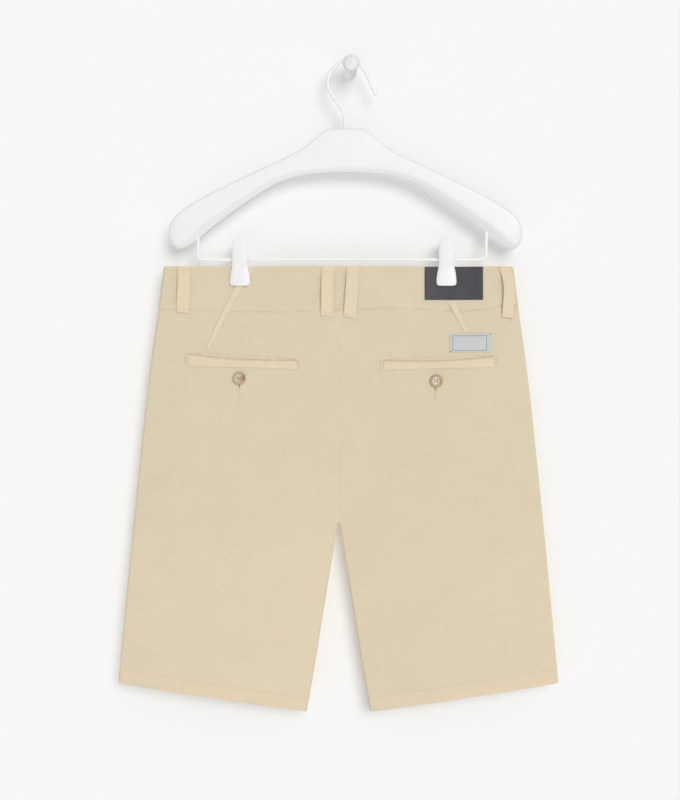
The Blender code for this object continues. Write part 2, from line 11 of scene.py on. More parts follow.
import bmesh
import bpy
import numpy as np
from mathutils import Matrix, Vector


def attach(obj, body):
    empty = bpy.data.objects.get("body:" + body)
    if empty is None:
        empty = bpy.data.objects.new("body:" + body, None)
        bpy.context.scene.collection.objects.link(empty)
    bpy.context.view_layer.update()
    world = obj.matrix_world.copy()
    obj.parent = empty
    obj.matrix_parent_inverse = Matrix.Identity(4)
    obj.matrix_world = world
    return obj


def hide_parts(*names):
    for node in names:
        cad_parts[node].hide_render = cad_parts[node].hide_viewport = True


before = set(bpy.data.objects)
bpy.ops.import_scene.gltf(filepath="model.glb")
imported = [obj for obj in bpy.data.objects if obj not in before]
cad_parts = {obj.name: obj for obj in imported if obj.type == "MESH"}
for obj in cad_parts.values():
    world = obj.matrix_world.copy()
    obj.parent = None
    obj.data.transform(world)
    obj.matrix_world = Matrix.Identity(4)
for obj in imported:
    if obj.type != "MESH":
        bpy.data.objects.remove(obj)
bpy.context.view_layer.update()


# ---- The wall, the floor, the light and the camera ------------------------------------------
# A white wall behind the peg and a pale floor well under the shorts, which show only to the
# camera, and the wall only from its front. The soft key light comes from the upper right, and
# weaker ones fill in from below, from above and from behind.

MM = 0.001
DAYLIGHT = 0.45

# Each lamp: its strength, its spread in degrees, where it shines from, and whether it casts shadows
Lamp = namedtuple("Lamp", "name strength spread direction casts")
LAMPS = (
    Lamp("key", 1.33, 34, (0.32, -1.0, 0.30), True),
    Lamp("low_fill", 1.16, 90, (-0.15, -1.0, -1.6), False),
    Lamp("top_fill", 0.36, 90, (0.5, -0.45, 1.0), True),
    Lamp("back_light", 1.5, 90, (-0.4, 1.0, 0.5), True),
)
WALL_WHITE = (0.865, 0.865, 0.865)
FLOOR_Z = -1150
STAGE_HALF = 3000
EYE = (-13.66, -1490, -419.3)
LENS = 52.2  # its focal length in mm


class Value:
    """A socket in a finish, on which sums can be written."""

    def __init__(self, finish, socket):
        self.finish = finish
        self.socket = socket

    def __add__(self, other):
        return self.finish.maths("ADD", self, other)

    def __sub__(self, other):
        return self.finish.maths("SUBTRACT", self, other)

    def __rsub__(self, other):
        return self.finish.maths("SUBTRACT", other, self)

    def __mul__(self, other):
        return self.finish.maths("MULTIPLY", self, other)

    def __lt__(self, other):
        return self.finish.maths("LESS_THAN", self, other)

    def __abs__(self):
        return self.finish.maths("ABSOLUTE", self)

    def root(self):
        return self.finish.maths("SQRT", self)

    def wave(self):
        return self.finish.maths("SINE", self)

    def at_least(self, other):
        return self.finish.maths("MAXIMUM", self, other)

    __radd__ = __add__
    __rmul__ = __mul__


class Finish:
    """A material while it is made: its tree, its surface, and one way to add any node."""

    def __init__(self, name, roughness=0.5, **surface):
        self.material = bpy.data.materials.new(name)
        self.material.use_nodes = True
        self.tree = self.material.node_tree
        self.surface = self.tree.nodes["Principled BSDF"]
        self.surface.inputs["Roughness"].default_value = roughness
        for socket, value in surface.items():
            self.surface.inputs[socket.replace("_", " ").title()].default_value = value

    def node(self, kind, settings=None, sockets=None, output=0):
        """Adds any node: its type, its settings, then the values or links of its sockets."""
        made = self.tree.nodes.new(kind)
        for setting, value in (settings or {}).items():
            setattr(made, setting, value)
        for socket, value in (sockets or {}).items():
            self.join(made.inputs[socket], value)
        return Value(self, made.outputs[output])

    def join(self, socket, value):
        if isinstance(value, Value):
            self.tree.links.new(value.socket, socket)
        else:
            socket.default_value = value

    def feed(self, socket, value):
        self.join(self.surface.inputs[socket], value)

    def maths(self, operation, first, second=0.0):
        return self.node("ShaderNodeMath", {"operation": operation}, {0: first, 1: second})

    def axis(self, name):
        """One of the object coordinates, in mm."""
        spot = self.node("ShaderNodeTexCoord", output="Object")
        return self.node("ShaderNodeSeparateXYZ", {}, {"Vector": spot}, name) * (1 / MM)

    def noise(self, size, detail=2.0, stretch=(1, 1, 1)):
        """Noise about 0, whose blots are about this many mm across, stretched along the axes."""
        spot = self.node("ShaderNodeTexCoord", output="Object")
        place = self.node("ShaderNodeMapping", {}, {"Vector": spot, "Scale": stretch})
        sockets = {"Vector": place, "Scale": 1 / (size * MM), "Detail": detail}
        return self.node("ShaderNodeTexNoise", {}, sockets) - 0.5

    def attribute(self, name):
        return self.node("ShaderNodeAttribute", {"attribute_name": name}, output="Fac")

    def blend(self, factor, first, second):
        """One colour mixed into another."""
        first, second = (c if isinstance(c, Value) else (*c, 1.0) for c in (first, second))
        settings = {"data_type": "RGBA", "clamp_factor": True}
        return self.node("ShaderNodeMix", settings, {0: factor, 6: first, 7: second}, 2)

    def shade(self, colour, amount):
        """A colour made lighter or darker by a varying share."""
        grey = self.node("ShaderNodeCombineXYZ", {}, dict.fromkeys("XYZ", amount + 1.0))
        return self.node("ShaderNodeVectorMath", {"operation": "MULTIPLY"}, {0: colour, 1: grey})

    def raise_by(self, height, deep):
        """Bump: a height from 0 to 1 that stands this many mm."""
        sockets = {"Strength": 1.0, "Distance": deep * MM, "Height": height}
        self.feed("Normal", self.node("ShaderNodeBump", {}, sockets))
        return self.material


def stage_plane(name, corners, finish):
    mesh = bpy.data.meshes.new(name)
    mesh.from_pydata([[value * MM for value in corner] for corner in corners], [], [(0, 1, 2, 3)])
    mesh.materials.append(finish.material)
    plane = bpy.data.objects.new(name, mesh)
    for ray in ("diffuse", "glossy", "transmission", "shadow"):
        setattr(plane, f"visible_{ray}", False)
    bpy.context.scene.collection.objects.link(plane)


def set_stage():
    paper = Finish("wall_paint", 1.0, base_color=(*WALL_WHITE, 1))
    clear = paper.node("ShaderNodeBsdfTransparent")
    behind = paper.node("ShaderNodeNewGeometry", output="Backfacing")
    front = Value(paper, paper.surface.outputs["BSDF"])
    one_sided = paper.node("ShaderNodeMixShader", {}, {0: behind, 1: front, 2: clear})
    paper.join(paper.tree.nodes["Material Output"].inputs["Surface"], one_sided)
    reach = STAGE_HALF
    corners = [(-reach, FLOOR_Z), (reach, FLOOR_Z), (reach, reach), (-reach, reach)]
    stage_plane("wall", [(x, 0, z) for x, z in corners], paper)
    floor_paint = Finish("floor_paint", 1.0, base_color=(*WALL_WHITE, 1))
    corners = [(-1, -1), (1, -1), (1, 1), (-1, 1)]
    stage_plane("floor", [(x * reach, y * reach, FLOOR_Z) for x, y in corners], floor_paint)


def set_light():
    world = bpy.data.worlds.new("daylight")
    world.use_nodes = True
    sky = world.node_tree.nodes["Background"]
    sky.inputs["Color"].default_value = (1.0, 1.0, 1.0, 1.0)
    sky.inputs["Strength"].default_value = DAYLIGHT
    bpy.context.scene.world = world
    for lamp in LAMPS:
        light = bpy.data.lights.new(lamp.name, "SUN")
        light.energy = lamp.strength
        light.angle = math.radians(lamp.spread)
        light.use_shadow = lamp.casts
        shining = bpy.data.objects.new(lamp.name, light)
        shining.rotation_mode = "QUATERNION"
        shining.rotation_quaternion = Vector(lamp.direction).to_track_quat("Z", "Y")
        bpy.context.scene.collection.objects.link(shining)


def set_camera():
    lens = bpy.data.cameras.new("camera")
    lens.lens = LENS
    camera = bpy.data.objects.new("camera", lens)
    camera.location = [value * MM for value in EYE]
    camera.rotation_euler = (math.radians(90), 0, 0)
    bpy.context.scene.collection.objects.link(camera)
    bpy.context.scene.camera = camera
    bpy.context.scene.view_settings.view_transform = "Standard"


set_stage()
set_light()
set_camera()


# ---- The wall peg -----------------------------------------------------------------------------
# A turned wooden peg, painted white with a brush, whose flat back sits on the wall. It has a
# rounded cap, and the hanger's hook rests on the tapering stem behind it.

# From the middle of the cap to the wall: radius, and distance from the wall
PEG_PROFILE = (
    (0.01, 52.0),
    (3.6, 51.9),
    (6.2, 51.5),
    (8.3, 50.7),
    (9.7, 49.4),
    (10.25, 47.9),
    (10.3, 46.8),
    (9.95, 45.7),
    (9.25, 45.2),
    (9.1, 44.0),
    (8.8, 40.0),
    (8.2, 28.0),
    (8.2, 24.0),
    (7.6, 12.0),
    (7.2, 6.0),
    (7.2, 0.0),
)
PEG_SIDES = 64


def curve_through(points, steps):
    """Points on a smooth curve through a row of points, evenly many to each stretch."""
    points = np.array(points, float)
    ends = np.vstack([points[:1], points, points[-1:]])
    before, start, end, after = ends[:-3], ends[1:-2], ends[2:-1], ends[3:]
    part = (np.arange(steps) / steps)[None, :, None]
    before, start, end, after = (p[:, None, :] for p in (before, start, end, after))
    run = 2 * start + (end - before) * part
    run = run + (2 * before - 5 * start + 4 * end - after) * part**2
    run = 0.5 * (run + (3 * start - before - 3 * end + after) * part**3)
    return np.vstack([run.reshape(-1, points.shape[1]), points[-1:]])


def piece(name, points, faces, finish, smooth_to=50, marks=None):
    """A mesh piece from points in mm, with its faces turned out and its flat edges kept. Marks
    are values at the points, which its finish reads."""
    mesh = bpy.data.meshes.new(name)
    mesh.from_pydata((np.asarray(points, float) * MM).tolist(), [], faces)
    for mark, values in (marks or {}).items():
        layer = mesh.attributes.new(mark, "FLOAT", "POINT")
        layer.data.foreach_set("value", np.asarray(values, np.float32))
    shape = bmesh.new()
    shape.from_mesh(mesh)
    bmesh.ops.remove_doubles(shape, verts=shape.verts, dist=0.000002)
    bmesh.ops.recalc_face_normals(shape, faces=shape.faces)
    shape.to_mesh(mesh)
    shape.free()
    mesh.materials.append(finish)
    mesh.shade_smooth()
    mesh.set_sharp_from_angle(angle=math.radians(smooth_to))
    made = bpy.data.objects.new(name, mesh)
    bpy.context.scene.collection.objects.link(made)
    return made


def skin(name, rings, finish, smooth_to=50):
    """A closed tube through rings of equally many points, closed by a flat face at both ends."""
    rings = np.asarray(rings, float)
    count, around = rings.shape[:2]
    faces = [tuple(range(around)), tuple(range((count - 1) * around, count * around))]
    for ring in range(count - 1):
        for index in range(around):
            after = (index + 1) % around
            low = ring * around
            high = low + around
            faces.append((low + index, low + after, high + after, high + index))
    return piece(name, rings.reshape(-1, 3), faces, finish, smooth_to)


def stand_for(node, made):
    """The finished piece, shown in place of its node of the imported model."""
    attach(made, "root")
    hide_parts(node)
    return made


def circle(count):
    turn = np.arange(count) * 2 * math.pi / count
    return np.stack([np.cos(turn), np.sin(turn)], axis=1)


def peg_paint():
    paint = Finish("brushed_white_paint", 0.42, base_color=(0.75, 0.75, 0.74, 1))
    strokes = paint.noise(5, 3, (1, 0.25, 1))
    worn = paint.noise(2.2, 4)
    paint.feed("Base Color", paint.shade((0.735, 0.735, 0.72), strokes * 0.2 + worn * 0.12))
    paint.feed("Roughness", worn * 0.3 + 0.42)
    return paint.raise_by(strokes + worn * 0.5, 0.5)


def make_peg():
    profile = curve_through(PEG_PROFILE, 4)
    rings = []
    for radius, away in profile:
        ring = circle(PEG_SIDES) * radius
        rings.append(np.stack([ring[:, 0], np.full(PEG_SIDES, -away), ring[:, 1]], axis=1))
    stand_for("wall_peg", skin("wall_peg_turned", rings, peg_paint()))


make_peg()


# ---- The hanger's body ------------------------------------------------------------------------
# A moulded plastic yoke, matt white, whose arms fall to rounded tips. Its faces are flat, its
# upper edge is rounded over and its underside is cut back at a slant.

HANG_Y = -26.0
HANGER_X = -6.7

# From the middle to the tip: points on the upper and lower edge, as distance from the middle and
# height, with the thickness and how high the slanted underside reaches
ARM = (
    (0, -77.3, 0, -132.2, 15, 5.5),
    (13, -77.3, 13, -132.4, 15, 5.5),
    (21.5, -77.9, 25, -133.1, 15, 5.5),
    (27, -80.4, 35, -133.9, 15, 5.5),
    (36, -88.1, 46, -135.0, 15, 5.8),
    (52.4, -101.2, 58, -137.2, 15.5, 6.2),
    (71.9, -111.9, 70, -140.3, 16, 6.6),
    (104.1, -127.1, 92, -149.3, 17, 7.2),
    (142.4, -145.4, 126, -170.7, 18, 8.0),
    (176.0, -162.4, 153, -190.2, 19, 9.0),
    (198.9, -176.1, 172, -204.4, 20, 10.0),
    (213.6, -188.0, 188.2, -218.5, 20, 10.5),
    (220.6, -200.5, 201, -226.4, 18, 9.0),
    (222.3, -211.5, 210.5, -228.2, 14, 6.0),
    (220.6, -219.5, 216.5, -225.9, 8, 2.0),
)
ARM_ROUNDING = (2.4, 4.2, 4.2, 2.2, 1.6)  # front low, front top, back top, back low, under
TIP_DOME = ((0.4, 0.92), (0.68, 0.72), (0.84, 0.45), (0.9, 0.15))  # past the tip, share of it


def rounded(corners, radii, steps=6):
    """A closed outline with its corners turned, each corner's curve in as many steps."""
    corners = np.asarray(corners, float)
    outline = []
    for index, radius in enumerate(radii):
        corner = corners[index]
        sides = [corners[index - 1] - corner, corners[(index + 1) % len(corners)] - corner]
        reach = [min(radius, 0.45 * np.linalg.norm(side)) for side in sides]
        start, end = (corner + s / np.linalg.norm(s) * r for s, r in zip(sides, reach))
        for step in range(steps + 1):
            part = step / steps
            outline.append(
                start * (1 - part) ** 2 + corner * 2 * part * (1 - part) + end * part**2
            )
    return outline


def moulded_plastic(name, colour, roughness=0.38):
    plastic = Finish(name, roughness, base_color=(*colour, 1))
    flow = plastic.noise(26, 2)
    grain = plastic.noise(0.7, 2)
    plastic.feed("Base Color", plastic.shade(colour, flow * 0.03))
    plastic.feed("Roughness", flow * 0.1 + grain * 0.08 + roughness)
    return plastic.raise_by(grain + flow * 2, 0.04)


def make_hanger_body():
    sections = []
    arm = curve_through(ARM, 5)
    tip_to_tip = [(-1, place) for place in arm[:0:-1]] + [(1, place) for place in arm]
    for side, (upper_x, upper_z, lower_x, lower_z, thick, slant) in tip_to_tip:
        length = math.hypot(upper_x - lower_x, upper_z - lower_z)
        section = []
        front, back = -thick / 2, thick / 2
        corners = [(slant, front), (length, front), (length, back), (0, back), (0, front + slant)]
        for rise, across in rounded(corners, ARM_ROUNDING):
            x = lower_x + (upper_x - lower_x) * rise / length
            z = lower_z + (upper_z - lower_z) * rise / length
            section.append((HANGER_X + side * x, HANG_Y + across, z))
        sections.append(section)
    sections = np.array(sections)
    for end, outward in ((0, -1), (-1, 1)):
        tip = sections[end]
        centre = tip.mean(axis=0)
        caps = []
        for past, share in TIP_DOME:
            caps.append(centre + (tip - centre) * share + [outward * past, 0, -past * 0.5])
        sections = np.vstack([caps[::-1], sections] if end == 0 else [sections, caps])
    body = skin("hanger_yoke", sections, moulded_plastic("matt_white_plastic", (0.79, 0.79, 0.785)))
    stand_for("hanger_body", body)


make_hanger_body()


# ---- The hanger's hook and bar ----------------------------------------------------------------
# Two round wires coated with white plastic. The hook stands in the yoke and turns over the peg's
# stem; the bar's ends are bent up into the underside of the arms.

WIRE_RADIUS = 2.0
WIRE_DOME = ((0.42, 0.75), (0.7, 0.3))  # past the wire's end, and share of its radius

# The hook from the yoke to its tip: x and z
HOOK_ROUTE = (
    (-7.6, -77.8),
    (-7.8, -63.4),
    (-10.5, -54.0),
    (-16.2, -45.4),
    (-22.6, -36.6),
    (-27.6, -27.0),
    (-29.2, -17.2),
    (-26.8, -7.6),
    (-20.0, 1.5),
    (-10.6, 8.4),
    (0, 10.5),
    (9.6, 6.2),
    (17.8, -4.6),
    (24.4, -18.6),
    (29.0, -28.6),
    (31.6, -35.0),
)
SHORTS_X = -15.6
WAIST_Z = -251.0
BAR_ENDS = (-176.9, 186.4)
BAR_TOPS = (-212.6, -205.6)
BAR_CORNER = 6.5
BAR_RISE = 8.8  # of the bar over the top of the waistband


def wire(name, route, finish, around=20):
    """A round wire along a route of (x, z) in the hanging plane, with domed ends."""
    route = np.asarray(route, float)
    heading = np.gradient(route, axis=0)
    heading /= np.linalg.norm(heading, axis=1)[:, None]
    stations = [(spot, way, 1.0) for spot, way in zip(route, heading)]
    for past, share in WIRE_DOME:
        stations.insert(0, (route[0] - heading[0] * past, heading[0], share))
        stations.append((route[-1] + heading[-1] * past, heading[-1], share))
    rings = []
    for spot, way, share in stations:
        ring = circle(around) * WIRE_RADIUS * share
        x = spot[0] + ring[:, 0] * way[1]
        z = spot[1] - ring[:, 0] * way[0]
        rings.append(np.stack([x, HANG_Y + ring[:, 1], z], axis=1))
    return skin(name, rings, finish)


def make_wires():
    coating = moulded_plastic("white_wire_coating", (0.85, 0.85, 0.85), 0.3)
    hook = wire("hook_wire", curve_through(HOOK_ROUTE, 8), coating)
    stand_for("hanger_hook", hook)
    low = WAIST_Z + BAR_RISE
    route = []
    for end, top, side in zip(BAR_ENDS, BAR_TOPS, (-1, 1)):
        x = SHORTS_X + end
        stretch = [(x, top), (x, top - 8), (x, top - 16)]
        for turn in np.linspace(0, math.pi / 2, 10):
            away = BAR_CORNER * (1 - math.cos(turn))
            down = BAR_CORNER * (1 - math.sin(turn))
            stretch.append((x - side * away, low + down))
        route += stretch if side < 0 else stretch[::-1]
    stand_for("clip_bar", wire("bar_wire", route, coating))


make_wires()


# ---- The clips --------------------------------------------------------------------------------
# Two moulded clips, each with a jaw on both sides of the waistband. A sleeve behind the jaws
# runs on the bar, and the jaws flare to a rounded lip where they grip.

CLIP_X = (-123.9, 135.9)
PINCHED_DEPTH = 1.6
BAND_STEP = 0.6
SEAM_GAP = 0.3
TRIM_WALL = 1.0

# A jaw from its top to its lip: height over the waistband's top, half width, and stand off its grip
JAW = (
    (32.8, 4.4, 4.4),
    (32.4, 6.6, 4.3),
    (31.0, 8.4, 4.1),
    (28.4, 9.5, 3.8),
    (25.0, 9.7, 3.2),
    (17.0, 9.7, 2.2),
    (9.0, 9.6, 1.7),
    (3.0, 9.6, 0.8),
    (-1.5, 10.1, 0),
    (-6.0, 11.0, 0),
    (-12.0, 12.0, 0),
    (-18.0, 12.5, 0),
    (-21.2, 12.4, 0),
    (-23.2, 11.6, 0),
    (-24.3, 9.6, 0),
    (-24.6, 7.0, 0),
)
JAW_WALL = 2.4
JAW_CROWN = 0.5
JAW_ROUNDING = 0.9
JAW_SOFT_EDGE = 0.6
BAR_STAND = 1.68  # of the jaw at the bar's height
SLEEVE_SIDES = 40
SLEEVE_HALF = 6.0

# Along a sleeve: part of its half length, and share of its radius
SLEEVE_ENDS = ((-1, 0.82), (-0.94, 0.95), (-0.8, 1), (0.8, 1), (0.94, 0.95), (1, 0.82))


def make_clips():
    plastic = moulded_plastic("clip_plastic", (0.80, 0.80, 0.80), 0.34)
    profile = curve_through(JAW, 4)
    steps = np.linspace(-1, 1, 13)
    crown = JAW_CROWN * (1 - steps**2)
    over_band = PINCHED_DEPTH + BAND_STEP + SEAM_GAP
    over_patch = over_band + TRIM_WALL + SEAM_GAP
    for hand, clip in zip(("left", "right"), CLIP_X):
        for place, face, grip in (("back", -1, over_patch), ("front", 1, over_band)):
            rings = []
            for height, half_width, stand in profile:
                x = SHORTS_X + clip + half_width * steps
                rise = min(max(height / BAR_RISE, 0), 1)
                stand = grip + stand + (over_patch - grip) * rise
                round_over = JAW_ROUNDING * (steps**2) ** 4
                z = np.full(len(steps), WAIST_Z + height)
                outer = np.stack([x, HANG_Y + face * (stand + JAW_WALL + crown - round_over), z], 1)
                inner = np.stack([x, HANG_Y + face * (stand + round_over * 0.4), z], 1)
                rings.append(np.vstack([outer, inner[::-1]]))
            jaw = skin(f"clip_{hand}_{place}", rings, plastic, 60)
            soft_edge = jaw.modifiers.new("soft_edge", "BEVEL")
            soft_edge.width = JAW_SOFT_EDGE * MM
            soft_edge.segments = 3
            soft_edge.angle_limit = math.radians(50)
            stand_for(f"clip_{hand}_{place}_jaw", jaw)
        rings = []
        for part, share in SLEEVE_ENDS:
            ring = circle(SLEEVE_SIDES) * (over_band + TRIM_WALL + BAR_STAND) * share
            x = np.full(SLEEVE_SIDES, SHORTS_X + clip + part * SLEEVE_HALF)
            rings.append(np.stack([x, HANG_Y + ring[:, 0], WAIST_Z + BAR_RISE + ring[:, 1]], 1))
        sleeve = skin(f"clip_{hand}_sleeve", rings, plastic)
        stand_for(f"clip_{hand}_hub", sleeve)


make_clips()


# ---- The leg panels ---------------------------------------------------------------------------
# Four panels of beige cotton twill, a back and a front for each leg, sewn at the sides, the
# inseams and the centre. The hem is turned up inside and stitched. On the cloth a place is
# (x, drop): x from the centre seam, and drop down from the top of the waistband.

BACK = -1
FRONT = 1
CUTS = {"back": BACK, "front": FRONT}
SIDES = {"left": -1, "right": 1}
CLOTH_WALL = 1.2
HEM_WALL = 2.4
HEM_HEIGHT = 19.0
FOLD_RADIUS = 3.0
CENTRE_GAP = 0.02  # between a length's edge and the middle
SWELL_RUN = 110.0  # from an edge to where the shorts are at their full depth
CROTCH_DROP = 323.0
HEM_OUTER_DROP = 525.0
HEM_INNER_DROP = 561.0
PINCH_HALF_WIDTH = 45.0  # of the cloth that a clip draws together
PINCH_END = 30.0
PINCH_FADE = 110.0

# Across the shorts: drop, half width, half depth
SECTIONS = (
    (0, 219.9, 4.6),
    (54, 226.6, 5.6),
    (108, 234.9, 6.8),
    (168, 242.3, 7.8),
    (229, 248.7, 8.4),
    (289, 255.0, 8.8),
    (323, 258.4, 9.0),
    (365, 262.5, 9.0),
    (425, 268.2, 8.6),
    (486, 273.9, 8.2),
    (525, 277.6, 8.0),
    (562, 281.0, 8.0),
)
HALF_WIDTH = 1
HALF_DEPTH = 2

# Half the gap between the legs at each inseam: drop, half gap
INSEAMS = ((323, 0.15), (334, 2.8), (365, 7.6), (425, 17.6), (486, 27.2), (562, 40.2))

# Rows of a panel: drop at its side seam and at its inner edge
PANEL_ROWS = (
    (53.3, 53.3),
    (85, 85),
    (135, 138),
    (165, 172),
    (195, 208),
    (222, 243),
    (246, 274),
    (266, 298),
    (282, 313),
    (295, 320),
    (306, 321.5),
    (315, 322.6),
    (323, 323),
    (333, 327),
    (346, 337),
    (365, 356),
    (388, 382),
    (414, 412),
    (442, 444),
    (468, 476),
    (490, 506),
    (505, 541),
)


def smooth(table, column, at):
    """Reads a column of a table at places of its first column, on a smooth curve."""
    places, values = np.array(table, float)[:, [0, column]].T
    at = np.clip(at, places[0], places[-1])
    slopes = np.gradient(values, places, edge_order=1)
    inner = slice(1, -1)
    slopes[inner] = (values[2:] - values[:-2]) / (places[2:] - places[:-2])
    index = np.clip(np.searchsorted(places, at) - 1, 0, len(places) - 2)
    span = places[index + 1] - places[index]
    part = (at - places[index]) / span
    start = values[index] * (1 + 2 * part) * (1 - part) ** 2
    end = values[index + 1] * part**2 * (3 - 2 * part)
    leave = slopes[index] * span * part * (1 - part) ** 2
    arrive = slopes[index + 1] * span * part**2 * (part - 1)
    return start + end + leave + arrive


def ease(part):
    """Rises from 0 at 0, quickly at first, and stays at 1 from 1 on."""
    return 1 - (1 - np.minimum(part, 1)) ** 2


def fade(part):
    """Falls smoothly from 1 at 0 to 0 at 1."""
    part = np.clip(part, 0, 1)
    return 1 - part**2 * (3 - 2 * part)


def bump(away, width, power=2):
    """1 at 0, falling to nearly 0 past the width on both sides, with a flatter top for a higher
    power."""
    return np.exp(-((away / width) ** power))


def folds(x, drop):
    """Distances from the fold at the side seam and at the inseam, and the way in from the nearer."""
    outer = np.maximum(smooth(SECTIONS, HALF_WIDTH, drop) - np.abs(x), 0)
    side = np.sign(x)
    in_leg = drop > CROTCH_DROP
    from_crotch = np.maximum(np.hypot(x, CROTCH_DROP - drop), 1e-6)
    inner = np.where(in_leg, np.abs(x) - smooth(INSEAMS, 1, drop), from_crotch)
    inner = np.maximum(inner, 0)
    in_x = np.where(outer < inner, -side, np.where(in_leg, side, x / from_crotch))
    in_z = np.where((outer < inner) | in_leg, 0, (CROTCH_DROP - drop) / from_crotch)
    return outer, inner, in_x, in_z


def depth(x, drop):
    """How far the plain cloth's outer face lies from the middle plane."""
    outer, inner, _, _ = folds(x, drop)
    nearest = np.minimum(np.minimum(outer, inner), FOLD_RADIUS)
    turn = np.sqrt(FOLD_RADIUS**2 - (FOLD_RADIUS - nearest) ** 2)
    swell = smooth(SECTIONS, HALF_DEPTH, drop) - FOLD_RADIUS
    free = turn + swell * ease(outer / SWELL_RUN) * ease(inner / SWELL_RUN)
    for clip in CLIP_X:
        grip = bump(x - clip, PINCH_HALF_WIDTH, 4) * fade((drop - PINCH_END) / PINCH_FADE)
        free = free + (PINCHED_DEPTH - free) * grip
    return free


def on_cloth(x, drop, face, lift, worn=0.0):
    """Points lifted off the plain cloth's outer face, which wear has moved where that is given."""
    x, drop = np.broadcast_arrays(np.asarray(x, float), np.asarray(drop, float))
    outer, inner, in_x, in_z = folds(x, drop)
    turn = 1 - np.minimum(np.minimum(outer, inner), FOLD_RADIUS) / FOLD_RADIUS
    out_of_plane = np.sqrt(1 - turn**2)
    away = np.maximum(depth(x, drop) + (lift + worn) * out_of_plane, SEAM_GAP / 2)
    across = SHORTS_X + x - lift * turn * in_x
    up = WAIST_Z - drop - lift * turn * in_z
    return np.stack([across, HANG_Y + face * away, up], axis=-1)


# Soft ridges, and troughs where the height is below 0, each along a line on one face of the shorts
Crease = namedtuple("Crease", "start end width height")
BACK_CREASES = (
    Crease((-214, 66), (-128, 62), 5, 0.45),
    Crease((-222, 80), (-160, 92), 7, -0.35),
    Crease((-228, 92), (-196, 104), 5, 0.4),
    Crease((-226, 118), (-204, 96), 6, -0.4),
    Crease((-186, 132), (-182, 166), 3.4, -0.6),
    Crease((-59, 134), (-58, 153), 3.0, -0.4),
    Crease((60, 140), (66, 172), 5, 0.4),
    Crease((196, 132), (188, 170), 5, 0.45),
    Crease((-6, 318), (-62, 268), 13, -0.7),
    Crease((-8, 326), (-86, 330), 15, 0.8),
    Crease((-10, 334), (-64, 392), 12, -0.6),
    Crease((6, 318), (58, 262), 13, -0.7),
    Crease((8, 326), (92, 322), 15, 0.8),
    Crease((10, 334), (70, 396), 12, -0.6),
    Crease((-124, 160), (-138, 330), 34, 0.9),
    Crease((-170, 190), (-196, 500), 30, -0.8),
    Crease((-96, 300), (-112, 540), 36, 0.9),
    Crease((130, 160), (142, 320), 34, 0.9),
    Crease((186, 180), (214, 490), 30, -0.8),
    Crease((104, 310), (118, 540), 36, 0.8),
    Crease((26, 60), (118, 66), 5, 0.5),
    Crease((38, 74), (96, 78), 8, -0.35),
    Crease((222, 64), (196, 84), 6, 0.4),
    Crease((232, 112), (206, 100), 6, -0.4),
    Crease((250, 250), (214, 282), 14, -0.7),
    Crease((256, 300), (224, 296), 10, 0.6),
    Crease((268, 420), (240, 440), 12, 0.6),
    Crease((-258, 330), (-226, 352), 14, 0.6),
    Crease((-264, 400), (-236, 386), 12, -0.6),
)
FRONT_CREASES = (
    Crease((-30, 210), (-70, 300), 20, 0.8),
    Crease((30, 214), (76, 306), 20, 0.8),
    Crease((-6, 322), (-80, 290), 14, -0.8),
    Crease((6, 322), (80, 292), 14, -0.8),
    Crease((-10, 330), (-74, 386), 13, 0.7),
    Crease((10, 330), (74, 390), 13, 0.7),
    Crease((-130, 170), (-140, 520), 34, 0.9),
    Crease((134, 170), (146, 520), 34, 0.9),
    Crease((-205, 210), (-214, 500), 30, -0.8),
    Crease((208, 210), (220, 500), 30, -0.8),
    Crease((-214, 76), (-166, 90), 7, 0.5),
    Crease((216, 80), (168, 92), 7, 0.5),
)


def ripples(x, drop, size, seed, waves=18):
    """An uneven surface between about -1 and 1, whose bumps are about this many mm across."""
    draw = np.random.default_rng(seed)
    total = np.zeros(np.shape(x))
    for _ in range(waves):
        heading = draw.uniform(0, 2 * math.pi)
        length = size * draw.uniform(1.3, 3.2)
        run = (x * math.cos(heading) + drop * math.sin(heading)) * 2 * math.pi / length
        total = total + np.sin(run + draw.uniform(0, 2 * math.pi))
    return total / math.sqrt(waves)


def along(x, drop, start, end):
    """Parts of the way along a line, and distances from it."""
    start, end = np.array(start, float), np.array(end, float)
    way = end - start
    length = np.linalg.norm(way)
    part = ((x - start[0]) * way[0] + (drop - start[1]) * way[1]) / length**2
    away = np.abs((x - start[0]) * way[1] - (drop - start[1]) * way[0]) / length
    past = np.maximum(np.abs(part - 0.5) - 0.5, 0) * length
    return part, np.hypot(away, past)


def creased(x, drop, face):
    """How far wear and hanging have moved the cloth off its plain form."""
    wander = ripples(x, drop, 26, 5 + face) * 2.4
    broad = ripples(x, drop, 46, 11 + face) * 0.42
    lift = broad + ripples(x, drop, 13, 17 + face) * 0.07
    for crease in BACK_CREASES if face == BACK else FRONT_CREASES:
        part, away = along(x + wander, drop + wander, crease.start, crease.end)
        weight = bump(away, crease.width) * fade(np.abs(part - 0.5) * 2 - 0.25)
        lift = lift + crease.height * weight
    # Under a clip and in the waistband the cloth is held flat
    for clip in CLIP_X:
        lift = lift * (1 - 0.9 * bump(x - clip, 24) * fade((drop - 20) / 60))
    return lift * fade(1 - (drop - 40) / 40)


def hem_edge(x, drop):
    """How far a place lies above the hem's lower edge."""
    inner = smooth(INSEAMS, 1, HEM_INNER_DROP)
    outer = smooth(SECTIONS, HALF_WIDTH, HEM_OUTER_DROP)
    share = np.clip((outer - np.abs(x)) / (outer - inner), 0, 1)
    return HEM_OUTER_DROP + (HEM_INNER_DROP - HEM_OUTER_DROP) * share - drop


BAND_HEIGHT = 53.0
BAND_LOW = 53.2  # the drop of its lower edge where that runs straight

